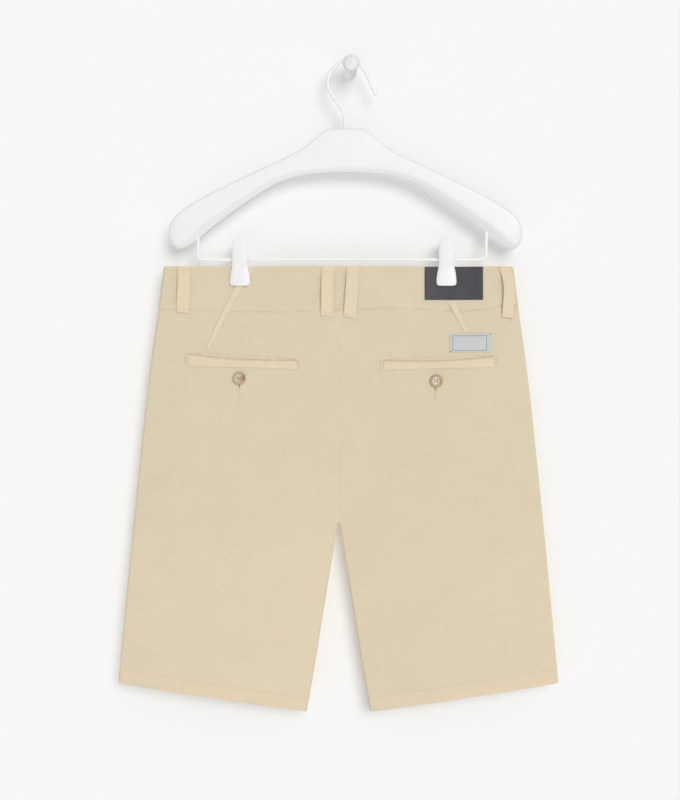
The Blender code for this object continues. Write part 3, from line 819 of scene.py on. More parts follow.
# The waistband's seam across the back, which wanders: x, drop
SEAM_LINE = (
    (-232, 54.0),
    (-190, 55.5),
    (-120, 56.8),
    (-60, 57.2),
    (-14, 55.2),
    (50, 53.6),
    (106, 53.0),
    (158, 56.4),
    (188, 53.2),
    (206, 51.2),
    (232, 51.0),
)


def seam_drop(x, face):
    return smooth(SEAM_LINE, 1, x) if face == BACK else BAND_LOW + 0 * x


SEAM_TOPSTITCH = 5.2  # to the right of the centre seam

# Each back pocket's mouth: its left and right end, how far it sags, and how wide it gapes
Mouth = namedtuple("Mouth", "left right sag gape")
MOUTHS = {
    "left": Mouth((-189.8, 111.2), (-53.6, 118.7), 2.6, 6.4),
    "right": Mouth((56.6, 119.2), (195.4, 113.9), 2.9, 5.2),
}


def mouth_line(mouth, x):
    """Parts of the way along a pocket's mouth, its slit's drop there, and the gape over it."""
    part = (x - mouth.left[0]) / (mouth.right[0] - mouth.left[0])
    bow = np.clip(4 * part * (1 - part), 0, 1)
    slit = mouth.left[1] + (mouth.right[1] - mouth.left[1]) * part + mouth.sag * bow
    return part, slit, mouth.gape * np.sqrt(bow)


def sewn(x, drop, face):
    """How far seams, hems and pocket mouths move the cloth off its plain form."""
    puckers = ripples(x * 1.6, drop * 0.5, 7, 23 + face)
    # The hem stands a little proud, with a groove where it is stitched
    over_hem = hem_edge(x, drop) - HEM_HEIGHT
    lift = (0.18 + 0.16 * puckers) * fade((over_hem + 1) / 4) * (over_hem < 3)
    lift = lift - 0.42 * bump(over_hem, 1.1)
    lift = lift + 0.2 * puckers * fade((drop - 54) / 14)
    # The centre seam's edges are both turned to the right and topstitched
    in_seat = fade((drop - CROTCH_DROP + 14) / 12)
    allowance = (x > 0) * fade((x - SEAM_TOPSTITCH) / 2.5)
    lift = lift + (0.34 + 0.1 * puckers) * allowance * in_seat
    lift = lift - 0.26 * bump(x - SEAM_TOPSTITCH, 0.9) * in_seat
    if face == BACK:
        # In a pocket's mouth the facing lies deeper than the lip over it, and the slit deepest
        for mouth in MOUTHS.values():
            part, slit, gape = mouth_line(mouth, x)
            inside = fade((np.abs(part - 0.5) - 0.495) / 0.012)
            below_lip = drop - slit + gape
            facing = (1 - fade(below_lip / 0.9)) * (drop < slit + 3)
            lift = lift - (0.6 + 0.4 * puckers) * facing * inside
            open_slit = 0.55 + 0.4 * puckers + 0.6 * fade((0.5 - np.abs(part - 0.5)) / 0.08)
            lift = lift - open_slit * bump(drop - slit + 0.3, 0.6, 4) * inside
    return lift


def painted_seam_shade(x, drop, face):
    """Painted shade: darker cloth under the waistband's seam and along a pocket's lip."""
    puckers = ripples(x, drop * 0.3, 12, 51 + face)
    seen = 0.25 + 0.75 * (1 - fade((x + 150) / 40))
    shade = -(0.5 + 0.6 * puckers) * seen * bump(drop - seam_drop(x, face), 1.8)
    if face == BACK:
        for mouth in MOUTHS.values():
            part, slit, gape = mouth_line(mouth, x)
            inside = fade((np.abs(part - 0.5) - 0.49) / 0.02)
            # Painted shade along the pocket's lip
            lip = bump(drop - slit + gape, 0.8)
            shade = shade - (0.7 + 0.5 * puckers) * lip * inside
    return shade


def shell(name, outer, inner, finish, marks=None):
    """A closed piece between two grids of points that have the same rows and columns."""
    rows, columns = outer.shape[:2]
    index = np.arange(rows * columns).reshape(rows, columns)
    quads = [index[:-1, :-1], index[:-1, 1:], index[1:, 1:], index[1:, :-1]]
    quads = np.stack(quads, -1).reshape(-1, 4)
    rim = np.concatenate([index[0], index[1:, -1], index[-1, -2::-1], index[-2:0:-1, 0]])
    ahead = np.roll(rim, -1)
    count = rows * columns
    edge = np.stack([rim, ahead, ahead + count, rim + count], -1)
    faces = np.vstack([quads, quads[:, ::-1] + count, edge[:, ::-1]]).tolist()
    points = np.vstack([outer.reshape(-1, 3), inner.reshape(-1, 3)])
    both = {mark: np.tile(np.ravel(values), 2) for mark, values in (marks or {}).items()}
    return piece(name, points, faces, finish, marks=both)


# The buttonholes of the back pockets: x, and the drops of their top, gape's end and stitched end
BUTTONHOLES = ((-124.3, 148.0, 155.6, 166.0), (121.9, 151.0, 158.6, 167.6))
# the dark colour painted as shade in each buttonhole's open slit
BUTTONHOLE_PAINTED_SHADE = (0.22, 0.15, 0.07)

COTTON = (0.715, 0.615, 0.445)
WARM_COTTON = (0.775, 0.633, 0.451)
LEG_WARMTH = {"left": 0.45, "right": 0.3}


def cotton(name, colour=COTTON, weave=0.62):
    """Beige twill, washed: fine diagonal ribs, a few thicker threads and faint blots, with painted
    shade in the buttonholes' slits.
    """
    cloth = Finish(name, 0.92, sheen_weight=0.12, sheen_roughness=0.6)
    ribs = ((cloth.axis("X") + cloth.axis("Z")) * (2 * math.pi / weave)).wave()
    threads = cloth.noise(9, 3, (12, 1, 0.7)) + cloth.noise(9, 3, (0.7, 1, 12))
    blots = cloth.noise(42, 3)
    fuzz = cloth.noise(1.1, 4)
    tone = threads * 0.075 + blots * 0.06 + fuzz * 0.10
    warm = cloth.attribute("warm") + cloth.noise(60, 1) * 0.35
    dye_and_painted_shade = cloth.blend(warm, colour, WARM_COTTON)
    # Painted shade: each buttonhole's open slit is painted dark on the back panels
    for x, top, gape_end, _ in BUTTONHOLES:
        beside = abs(cloth.axis("X") - (SHORTS_X + x))
        up = cloth.axis("Z") - (WAIST_Z - gape_end)
        painted_slit_shade = (0.04 + up * 0.11 - beside) * 5.0 * (up < gape_end - top)
        dye_and_painted_shade = cloth.blend(painted_slit_shade * (cloth.axis("Y") < HANG_Y), dye_and_painted_shade, BUTTONHOLE_PAINTED_SHADE)
    # The pale mark lightens or darkens the cloth: painted shade, painted light and paler wear, as each
    # piece gives it
    cloth.feed("Base Color", cloth.shade(dye_and_painted_shade, tone + cloth.attribute("pale") * 0.075))
    return cloth.raise_by(ribs * 0.5 + threads * 2.2 + fuzz * 1.6, 0.10)


def ways_in(width, columns):
    """Ways in over a width of cloth, close together in the fold at each end."""
    turn = FOLD_RADIUS * (1 - np.cos(np.linspace(0, math.pi / 2, 9)))
    flat = FOLD_RADIUS + (width - 2 * FOLD_RADIUS) * np.linspace(0, 1, columns)[1:-1]
    return np.concatenate([turn, flat, width - turn[::-1]])


def panel_places(side, steps=9, columns=104):
    """The places of one panel's grid, from the side seam to the inner edge, waist to hem."""
    rows = curve_through(PANEL_ROWS, steps)
    at_waist = PANEL_ROWS[0] + np.array([-1.4, -0.7, -0.2, 0.2, 0.7, 1.4, 2.3])[:, None]
    mouth = np.arange(101.6, 122, 0.6)
    at_mouth = np.stack([mouth, np.interp(mouth, rows[:, 0], rows[:, 1])], axis=1)
    over = rows[(rows[:, 0] > 56) & (rows[:, 0] < 101)]
    rows = np.vstack([at_waist, over, at_mouth, rows[rows[:, 0] > 122.4]])
    hem = np.linspace(0, 1, 13)[1:, None] * (HEM_OUTER_DROP - rows[-1, 0] - 1.4)
    rows = np.vstack([rows, rows[-1] + hem])
    last = np.array([0.35, 0.7, 1.0, 1.2, 1.32, 1.4])[:, None]
    rows = np.vstack([rows, rows[-1] + last])
    x_rows, drop_rows = [], []
    for outer_drop, inner_drop in rows:
        outer_x = smooth(SECTIONS, HALF_WIDTH, outer_drop)
        inner_x = smooth(INSEAMS, 1, inner_drop) if inner_drop > CROTCH_DROP else CENTRE_GAP
        width = outer_x - inner_x
        run = ways_in(width, columns)
        x_rows.append(side * (outer_x - run))
        drop_rows.append(outer_drop + (inner_drop - outer_drop) * run / width)
    return np.array(x_rows), np.array(drop_rows)


def make_panels():
    cloth = cotton("beige_twill")
    panels = {}
    for cut, face in CUTS.items():
        for hand, side in SIDES.items():
            x, drop = panel_places(side) if face == BACK else panel_places(side, 7, 72)
            drop = drop + (seam_drop(x, face) - BAND_LOW) * fade((drop - PANEL_ROWS[0][0]) / 36)
            # The hem is a doubled wall with a round edge, and the top is tucked into the band
            above = hem_edge(x, drop)
            wall = np.where(above < HEM_HEIGHT + 0.5, HEM_WALL, CLOTH_WALL)
            radius = HEM_WALL / 2
            turned_in = radius - np.sqrt(radius**2 - (radius - np.clip(above, 0, radius)) ** 2)
            tucked = 0.35 + 0.5 * (seam_drop(x, face) - drop)
            turned_in = np.where(drop < seam_drop(x, face) + 0.9, np.maximum(tucked, 0), turned_in)
            moved = creased(x, drop, face) + sewn(x, drop, face)
            outer = on_cloth(x, drop, face, -turned_in, moved)
            inner = on_cloth(x, drop, face, turned_in - wall, moved * 0.8)
            # Wear shows warmer at the hem and low on the legs, and paler along the centre seam and
            # edges
            centre_line = fade((np.abs(x + 0.8) - 0.6) / 1.3) * (drop < CROTCH_DROP)
            worn_edge = 0.5 + 0.8 * ripples(x, drop * 0.4, 34, 57)
            warm = 0.25 * fade((above - HEM_HEIGHT + 4) / 6) + worn_edge * fade((above - 1) / 9)
            warm = warm + 0.3 * centre_line + LEG_WARMTH[hand] * (1 - fade((drop - 230) / 170))
            # The side folds are made paler: painted light against their shading, as well as worn paler
            # edges
            side_fold_painted_light = fade((smooth(SECTIONS, HALF_WIDTH, drop) - np.abs(x) - 0.6) / 2)
            # Painted shade: darker cloth under the waistband's seam and along each pocket's lip
            pale = painted_seam_shade(x, drop, face) + 0.35 * centre_line + 1.1 * side_fold_painted_light
            marks = {"warm": warm, "pale": pale}
            panel = shell(f"{cut}_leg_{hand}", outer, inner, cloth, marks)
            panels[cut, hand] = stand_for(f"{cut}_panel_{hand}", panel)
    return panels


panels = make_panels()


# ---- The waistband ----------------------------------------------------------------------------
# A doubled band of the same twill in four lengths, sewn to the panels with its raw edges turned
# inside. It meets at the sides and at the centre back, and its lower edge is pressed flat.

BAND_WALL = 2.0
BAND_TOPS = {BACK: 0.0, FRONT: 3.0}
TOP_GROOVE = 5.4  # of the stitches along its top edge


def band_places(side, face, top, columns=110, rows=34):
    edge = np.array([0, 0.12, 0.35, 0.65, 1.0])
    low_edge = BAND_LOW - np.array([1.1, 0.6, 0.25, 0.0])
    drops = np.concatenate([top + edge, np.linspace(top + 2, BAND_HEIGHT - 1.6, rows), low_edge])
    outer_x = smooth(SECTIONS, HALF_WIDTH, drops)
    x = side * np.array([edge_x - ways_in(edge_x - CENTRE_GAP, columns) for edge_x in outer_x])
    share = (drops[:, None] - top) / (BAND_LOW - top)
    return x, top + (seam_drop(x, face) - top) * share


def band_shape(x, drop, face):
    """How far the band's outer face is lifted, and moved by its seams and by hanging."""
    above_seam = seam_drop(x, face) - drop
    rolled = BAND_STEP - (BAND_STEP + 0.25) * bump(above_seam, 3.2)
    soft = ripples(x, drop, 30, 31 + face) * 0.16
    soft = soft + ripples(x * 1.5, drop * 0.6, 9, 37 + face) * 0.05
    seam = -0.22 * bump(drop - TOP_GROOVE, 0.8) - 0.2 * bump(x - SEAM_TOPSTITCH, 0.8)
    free = 1 - sum(bump(x - clip, 22, 4) for clip in CLIP_X)
    return rolled, (soft + seam) * free * fade(1 - above_seam / 6)


def make_waistband():
    cloth = bpy.data.materials["beige_twill"]
    lengths = {}
    for cut, face in CUTS.items():
        for hand, side in SIDES.items():
            top = BAND_TOPS[face]
            x, drop = band_places(side, face, top)
            lift, moved = band_shape(x, drop, face)
            radius = BAND_WALL / 2
            over = np.clip(drop - top, 0, radius)
            turned_in = radius - np.sqrt(radius**2 - (radius - over) ** 2)
            outer = on_cloth(x, drop, face, lift - turned_in, moved)
            inner = on_cloth(x, drop, face, turned_in + BAND_STEP - BAND_WALL, moved)
            warm = 0.35 * fade((drop - top) / 5) + 0.2 * fade((np.abs(x) - 226) / -12)
            # The pale mark here is painted shade along the band's lower edge, over its seam
            marks = {"warm": warm, "pale": painted_seam_shade(x, drop, face)}
            band = shell(f"band_{cut}_{hand}", outer, inner, cloth, marks)
            lengths[cut, hand] = stand_for(f"waistband_{cut}_{hand}", band)
    return lengths


bands = make_waistband()


# ---- The belt loops ---------------------------------------------------------------------------
# Strips folded in three and stitched along both edges. Each is caught in the band's top edge and
# bar-tacked below it, and stands off the band between the two, further on its left edge.

# Each loop: where its middle runs, its lower end's drop, and how far it sways to the sides, turns
# one edge off the cloth and slants at its lower end
Loop = namedtuple("Loop", "name face top_x middle_x low_x low_drop sway twist slant width")
LOOPS = (
    Loop("belt_loop_back_outer_left", BACK, -195.0, -194.0, -195.8, 58.5, 0.3, 1.5, 0.6, 15.6),
    Loop("belt_loop_back_inner_left", BACK, -13.2, -13.8, -14.8, 62.5, -0.3, 1.0, 0.0, 15.6),
    Loop("belt_loop_back_inner_right", BACK, 17.6, 16.6, 14.4, 64.5, 0.3, 1.3, 1.2, 15.6),
    Loop("belt_loop_back_outer_right", BACK, 208.9, 214.8, 213.0, 64.5, 0.8, 1.3, 0.8, 14.6),
    Loop("belt_loop_front_left", FRONT, -97, -97, -97, 62.5, 0.3, 0.6, 0.4, 15.6),
    Loop("belt_loop_front_right", FRONT, 97, 97, 97, 62.5, -0.3, 0.6, -0.4, 15.6),
)
LOOP_WALL = 1.4
LOOP_TACK = 3.6  # a bar-tack, from either end
LOOP_EDGE = 0.68  # a row of stitches, as a part of the half width

# A belt loop from its top to its lower end: the part of its length, and its stand off the cloth
LOOP_BOW = (
    (0.0, 0.9),
    (0.08, 1.0),
    (0.24, 2.4),
    (0.5, 3.0),
    (0.72, 2.6),
    (0.86, 1.3),
    (0.95, 0.5),
    (1.0, 0.45),
)


def loop_top(loop):
    return BAND_TOPS[loop.face] + 0.6


def loop_layers(loop, part, steps):
    """Points on a loop's inner and outer face, and the drop at each."""
    top = loop_top(loop)
    drop = (top + (loop.low_drop - top) * part)[:, None]
    part = part[:, None]
    steps = np.asarray(steps, float)[None, :]
    bend = loop.middle_x - (loop.top_x + loop.low_x) / 2
    centre = loop.top_x * (1 - part) + loop.low_x * part
    centre = centre + bend * np.sin(math.pi * part) + loop.sway * np.sin(2 * math.pi * part)
    x = centre + steps * loop.width / 2
    drops = drop + loop.slant * steps * part**6
    stand = smooth(LOOP_BOW, 1, part) - loop.twist * np.sin(math.pi * part) * steps
    base = depth(centre + np.array([[-0.5, 0, 0.5]]) * loop.width, drop).max(axis=1, keepdims=True)
    crumple = ripples(x, drops, 11, 41) * 0.16 * np.sin(math.pi * part)
    edge = 0.5 * np.abs(steps) ** 10 + 0.3 * bump(np.abs(steps) - LOOP_EDGE, 0.05)
    fold = 0.45 * bump(drop - top - LOOP_TACK, 0.7)
    tack = 0.5 * bump(loop.low_drop - drop - LOOP_TACK, 0.9)
    inner = base + stand + crumple
    outer = inner + LOOP_WALL - edge - fold - tack
    layers = [(SHORTS_X + x, HANG_Y + loop.face * away, WAIST_Z - drops) for away in (inner, outer)]
    return [np.stack(layer, -1) for layer in layers], drops


def make_belt_loops():
    cloth = cotton("beige_twill_trim", COTTON, 0.8)
    part = np.concatenate([np.linspace(0, 0.97, 60), [0.98, 0.99, 0.995, 1.0]])
    for loop in LOOPS:
        (inner, outer), drops = loop_layers(loop, part, np.linspace(-1, 1, 33))
        from_tack = np.abs(loop.low_drop - drops - LOOP_TACK)
        warm = 0.8 + 0.9 * fade(from_tack / 2.2)
        pale = 0.5 * fade((loop.low_drop - drops) / 1.8) - 0.6 * fade((from_tack - 0.4) / 1.4)
        marks = {"warm": warm, "pale": pale}
        strip = shell(loop.name.replace("belt_", ""), outer, inner, cloth, marks)
        stand_for(loop.name, strip)


make_belt_loops()


# ---- The darts and the back pockets -----------------------------------------------------------
# Each dart is a fold of the seat taken in and stitched down, from the waist to the pocket. Each
# pocket's mouth is a slit finished with a welt, a narrow folded strip sewn along its lower lip.

DARTS = {
    "left": ((-115.5, 0.4), (-104.2, 0.4), (-167.4, 104), (-162.3, 104)),
    "right": ((136.4, 43), (146.6, 43), (158.4, 83.6), (163.2, 83.6)),
}
DART_BULGE = {"left": -2.5, "right": 0.4}
WELTS = {
    "left": ((-189.8, 111.5), (-53.6, 119.0), (-188.6, 125.6), (-53.9, 129.6)),
    "right": ((56.6, 119.5), (195.4, 114.2), (57.2, 130.8), (194.8, 127.0)),
}


def laid(corners, across_steps, down_steps, bulge=0.0, sag=0.0):
    """A grid of places between four corners (x, drop): top left, top right, then below."""
    left_top, right_top, left_low, right_low = np.array(corners, float)
    along_it = np.linspace(0, 1, across_steps + 1)[None, :, None]
    down = np.linspace(0, 1, down_steps + 1)[:, None, None]
    places = (left_top * (1 - along_it) + right_top * along_it) * (1 - down)
    places = places + (left_low * (1 - along_it) + right_low * along_it) * down
    x = places[..., 0] + bulge * np.sin(math.pi * down[..., 0])
    bow = 4 * along_it[..., 0] * (1 - along_it[..., 0])
    return x, places[..., 1] + sag * bow * (1 - down[..., 0]), along_it[..., 0], down[..., 0]


def laid_piece(name, face, corners, steps, under, finish, marks, wall=TRIM_WALL, worn=creased, **bend):
    """A flat sewn piece between four corners on the cloth, thinned towards its edges. It lies on
    what is under it and moves with the cloth that is worn there."""
    x, drop, along_it, down = laid(corners, *steps, **bend)
    width = abs(corners[1][0] - corners[0][0]) + abs(corners[3][0] - corners[2][0])
    height = abs(corners[2][1] - corners[0][1]) + abs(corners[3][1] - corners[1][1])
    from_side = np.minimum(along_it, 1 - along_it) * width / 2
    from_end = np.minimum(down, 1 - down) * height / 2
    thinned = np.minimum(bump(from_side, 0.8) + bump(from_end, 0.8), 1.3)
    lift = under(drop)
    moved = worn(x, drop, face)
    outer = on_cloth(x, drop, face, lift + wall * (1 - 0.55 * thinned), moved)
    inner = on_cloth(x, drop, face, lift, moved)
    marks = {mark: np.full(x.shape, value) for mark, value in marks.items()}
    return shell(name, outer, inner, finish, marks)


def on_panel(drop):
    return SEAM_GAP + 0.0 * drop


def on_band(drop):
    return BAND_STEP + SEAM_GAP + 0.0 * drop


def over_band_edge(drop):
    """On the waistband, then down its lower edge onto the panel."""
    return SEAM_GAP + BAND_STEP * fade((drop - BAND_HEIGHT + 3) / 8)


def make_darts():
    cloth = bpy.data.materials["beige_twill_trim"]
    # The dart is painted paler: a painted highlight along its pressed fold
    marks = {"warm": 0.2, "pale": 0.6}
    made = {}
    for hand, corners in DARTS.items():
        run = (f"dart_fold_{hand}", BACK, corners, (12, 110), over_band_edge)
        dart = laid_piece(*run, cloth, marks, bulge=DART_BULGE[hand])
        made[hand] = stand_for(f"dart_{hand}", dart)
    return made


def make_welts():
    cloth = bpy.data.materials["beige_twill_trim"]
    marks = {"warm": 0.8, "pale": 0.0}
    made = {}
    for hand, corners in WELTS.items():
        run = (f"welt_{hand}", BACK, corners, (130, 22), on_panel)
        welt = laid_piece(*run, cloth, marks, sag=MOUTHS[hand].sag)
        made[hand] = stand_for(f"pocket_welt_{hand}", welt)
    return made


darts = make_darts()
welts = make_welts()


# ---- The patch and the woven label ------------------------------------------------------------
# A smooth dark patch sewn to the waistband, and a grey label woven with a thin dark frame and
# sewn to the seat over the right pocket. Both are bare.

PATCH = ((108.6, 0.4), (181.9, 0.4), (108.6, 42.2), (181.9, 42.2))
PAINTED_SHEEN_FROM = 132  # painted sheen: the patch is lighter to the left of this x
LABEL = ((140.0, 85.0), (192.0, 85.0), (140.0, 108.2), (192.0, 108.2))
LABEL_FRAME_X = (143.6, 186.2)
LABEL_FRAME_DROP = (87.6, 106.2)
FRAME_HALF_LINE = 0.42
LABEL_WALL = 0.8


def band_worn(x, drop, face):
    return band_shape(x, drop, face)[1]


def frame_line(woven):
    """1 on a thin rectangle set in from the label's edges, and 0 elsewhere."""
    left, right = (SHORTS_X + x for x in LABEL_FRAME_X)
    top, low = (WAIST_Z - drop for drop in LABEL_FRAME_DROP)
    beside = abs(woven.axis("X") - (left + right) / 2) - (right - left) / 2
    above = abs(woven.axis("Z") - (top + low) / 2) - (top - low) / 2
    return abs(beside.at_least(above)) < FRAME_HALF_LINE


def make_patch():
    hide = Finish("dark_patch_finish", 0.5, base_color=(0.038, 0.034, 0.041, 1))
    grain = hide.noise(0.9, 3)
    haze = hide.noise(22, 2)
    # Painted sheen: the patch grows lighter towards its left
    paler = ((SHORTS_X + PAINTED_SHEEN_FROM - hide.axis("X")) * 0.03).at_least(0.0)
    tone = grain * 0.3 + haze * 0.5 + paler * 0.6
    hide.feed("Base Color", hide.shade((0.038, 0.0342, 0.0414), tone))
    hide.feed("Roughness", grain * 0.2 + haze * 0.3 + 0.55)
    hide.raise_by(grain, 0.12)
    patch = laid_piece("bare_patch", BACK, PATCH, (60, 36), on_band, hide.material, {}, worn=band_worn)
    stand_for("waistband_patch", patch)


def make_label():
    woven = Finish("woven_label_finish", 0.85, base_color=(0.62, 0.645, 0.63, 1))
    weft = (woven.axis("Z") * (2 * math.pi / 0.5)).wave()
    warp = (woven.axis("X") * (2 * math.pi / 0.7)).wave()
    line = frame_line(woven)
    fibre = woven.noise(1.2, 3)
    shade = woven.shade((0.615, 0.64, 0.625), weft * 0.05 + warp * 0.04 + fibre * 0.16)
    woven.feed("Base Color", woven.blend(line * (fibre * 0.8 + 0.75), shade, (0.20, 0.21, 0.215)))
    woven.raise_by(weft * 0.5 + warp * 0.4 - line * 0.4, 0.12)
    run = ("bare_label", BACK, LABEL, (60, 30), on_panel)
    label = laid_piece(*run, woven.material, {}, wall=LABEL_WALL)
    return stand_for("woven_label", label)


make_patch()
label = make_label()


# ---- The front --------------------------------------------------------------------------------
# A fly whose edge overlaps to the wearer's right, a tab that closes the waistband over it, and
# the turned edges of two slanted pockets.

FLY = ((-38, 54), (4, 54), (-10, 205), (4, 205))
TAB = ((-38, 3.4), (9, 3.4), (-38, 53), (9, 53))
FRONT_POCKET = ((152, 54), (165, 54), (214, 196), (227, 196))


def make_front():
    cloth = bpy.data.materials["beige_twill"]
    marks = {"warm": 0.2}
    fly = laid_piece("fly", FRONT, FLY, (24, 90), on_panel, cloth, marks)
    tab = laid_piece("tab", FRONT, TAB, (30, 34), on_band, cloth, marks, worn=band_worn)
    made = {"fly": stand_for("fly_edge", fly)}
    made["tab"] = stand_for("waistband_tab", tab)
    for hand, side in SIDES.items():
        corners = [(side * x, drop) for x, drop in FRONT_POCKET]
        edge = laid_piece(f"front_pocket_{hand}", FRONT, corners, (10, 90), on_panel, cloth, marks)
        made[hand] = stand_for(f"front_pocket_edge_{hand}", edge)
    return made


front_trims = make_front()


# ---- The buttons ------------------------------------------------------------------------------
# Four-hole buttons turned from pale horn with a browner rim, sewn on with two bars of thread.
# Those of the back pockets close them over a stitched buttonhole, and the waist's closes the tab.

BUTTON_RADIUS = 8.0
BUTTON_PROFILE = (
    (0.01, 1.5),
    (3.6, 1.5),
    (4.4, 1.6),
    (5.0, 2.2),
    (5.6, 2.6),
    (6.4, 2.75),
    (7.2, 2.5),
    (7.8, 1.9),
    (8.0, 1.3),
    (7.7, 0.6),
    (6.8, 0.1),
    (5.6, 0.0),
    (0.01, 0.0),
)
BUTTON_SIDES = 48
THREAD_HOLE = 0.8
THREAD_HOLE_OFFSET = 1.5
HOLE_SIDES = 12
HORN_BLOT = (0.3, 0.175, 0.075)

# Each button: its place, its lift off the cloth, the colours of its rim and middle, and how much
# of the blot it has
Button = namedtuple("Button", "name face x drop lift rim middle blot")
BUTTONS = (
    Button("pocket_button_left", BACK, -124.8, 141.2, 0, (0.44, 0.34, 0.2), (0.57, 0.48, 0.37), 0.9),
    Button("pocket_button_right", BACK, 122.6, 144.5, 0, (0.42, 0.3, 0.155), (0.69, 0.58, 0.49), 0.25),
    Button("waist_button", FRONT, -12.0, 28.0, 1.9, (0.47, 0.33, 0.17), (0.72, 0.6, 0.5), 0.5),
)


def horn(button):
    """Horn, pale in its dish, browner round its rim and browner still in one blot."""
    finish = Finish(f"horn_of_{button.name}", 0.32, coat_weight=0.3, coat_roughness=0.12)
    across = finish.axis("X") - (SHORTS_X + button.x)
    up = finish.axis("Z") - (WAIST_Z - button.drop)
    out = (across * across + up * up).root()
    streaks = finish.noise(5, 3, (1, 1, 0.4))
    rim = (out - 3.9) * 0.5 + streaks * 1.2
    right, high = across - 6.6, up - 1.2
    from_blot = (right * right + high * high * 0.5).root()
    blot = (4.9 - from_blot + streaks * 3) * 0.32 * button.blot
    body = finish.blend(rim, button.middle, button.rim)
    dyed = finish.blend(blot, body, HORN_BLOT)
    finish.feed("Base Color", finish.shade(dyed, streaks * 0.5))
    return finish.material


def make_plain(made, modifier):
    """Keeps what a modifier makes of a piece as the piece's own mesh."""
    shaped = made.evaluated_get(bpy.context.evaluated_depsgraph_get())
    plain = bpy.data.meshes.new_from_object(shaped)
    made.modifiers.remove(modifier)
    made.data = plain


def drilled(disc, centre, face):
    """The disc with its four thread holes cut."""
    corners = []
    faces = []
    for x, z in ((-1, -1), (-1, 1), (1, -1), (1, 1)):
        low = range(len(corners), len(corners) + HOLE_SIDES)
        high = range(low.stop, low.stop + HOLE_SIDES)
        for away in (-4, 8):
            for turn in circle(HOLE_SIDES) * THREAD_HOLE:
                across, up = turn + THREAD_HOLE_OFFSET * np.array((x, z))
                corners.append(centre + [across, face * away, up])
        faces += [tuple(low), tuple(high)]
        for index in range(HOLE_SIDES):
            after = (index + 1) % HOLE_SIDES
            faces.append((low[index], low[after], high[after], high[index]))
    drill = piece(f"{disc.name}_drill", corners, faces, disc.data.materials[0])
    cut = disc.modifiers.new("thread_holes", "BOOLEAN")
    cut.object = drill
    make_plain(disc, cut)
    bpy.data.objects.remove(drill)
    return disc


def button_seat(button):
    """The middle of a button's underside."""
    reach = 0.8 * BUTTON_RADIUS
    rims = ((0, reach), (0, -reach), (reach, 0), (-reach, 0))
    base = max(depth(button.x + x, button.drop + z) for x, z in rims) + button.lift + SEAM_GAP
    return np.array([SHORTS_X + button.x, HANG_Y + button.face * base, WAIST_Z - button.drop])


def make_buttons():
    for button in BUTTONS:
        seat = button_seat(button)
        rings = []
        for radius, high in BUTTON_PROFILE:
            across, up = circle(BUTTON_SIDES).T * radius
            away = np.full(BUTTON_SIDES, button.face * high)
            rings.append(seat + np.stack([across, away, up], -1))
        disc = drilled(skin(f"disc_{button.name}", rings, horn(button), 40), seat, button.face)
        stand_for(button.name, disc)


make_buttons()


# ---- The stitching ----------------------------------------------------------------------------
# Cotton thread a shade paler than the cloth: single rows along hems, seams and edges, dense bars
# where a loop or a pocket's end takes strain, and the purled edges of the buttonholes.

SKEW = 0.09  # how far a stitch may turn off its line, in radians
ACROSS = math.pi / 2  # the turn of a stitch that lies across its line
ON_FACE = 0.05  # a row's lift off the cloth


def thread_finish(name, colour):
    thread = Finish(name, 0.8, base_color=(*colour, 1))
    twist = thread.noise(0.5, 2)
    thread.feed("Base Color", thread.shade(colour, twist * 0.25))
    return thread.material


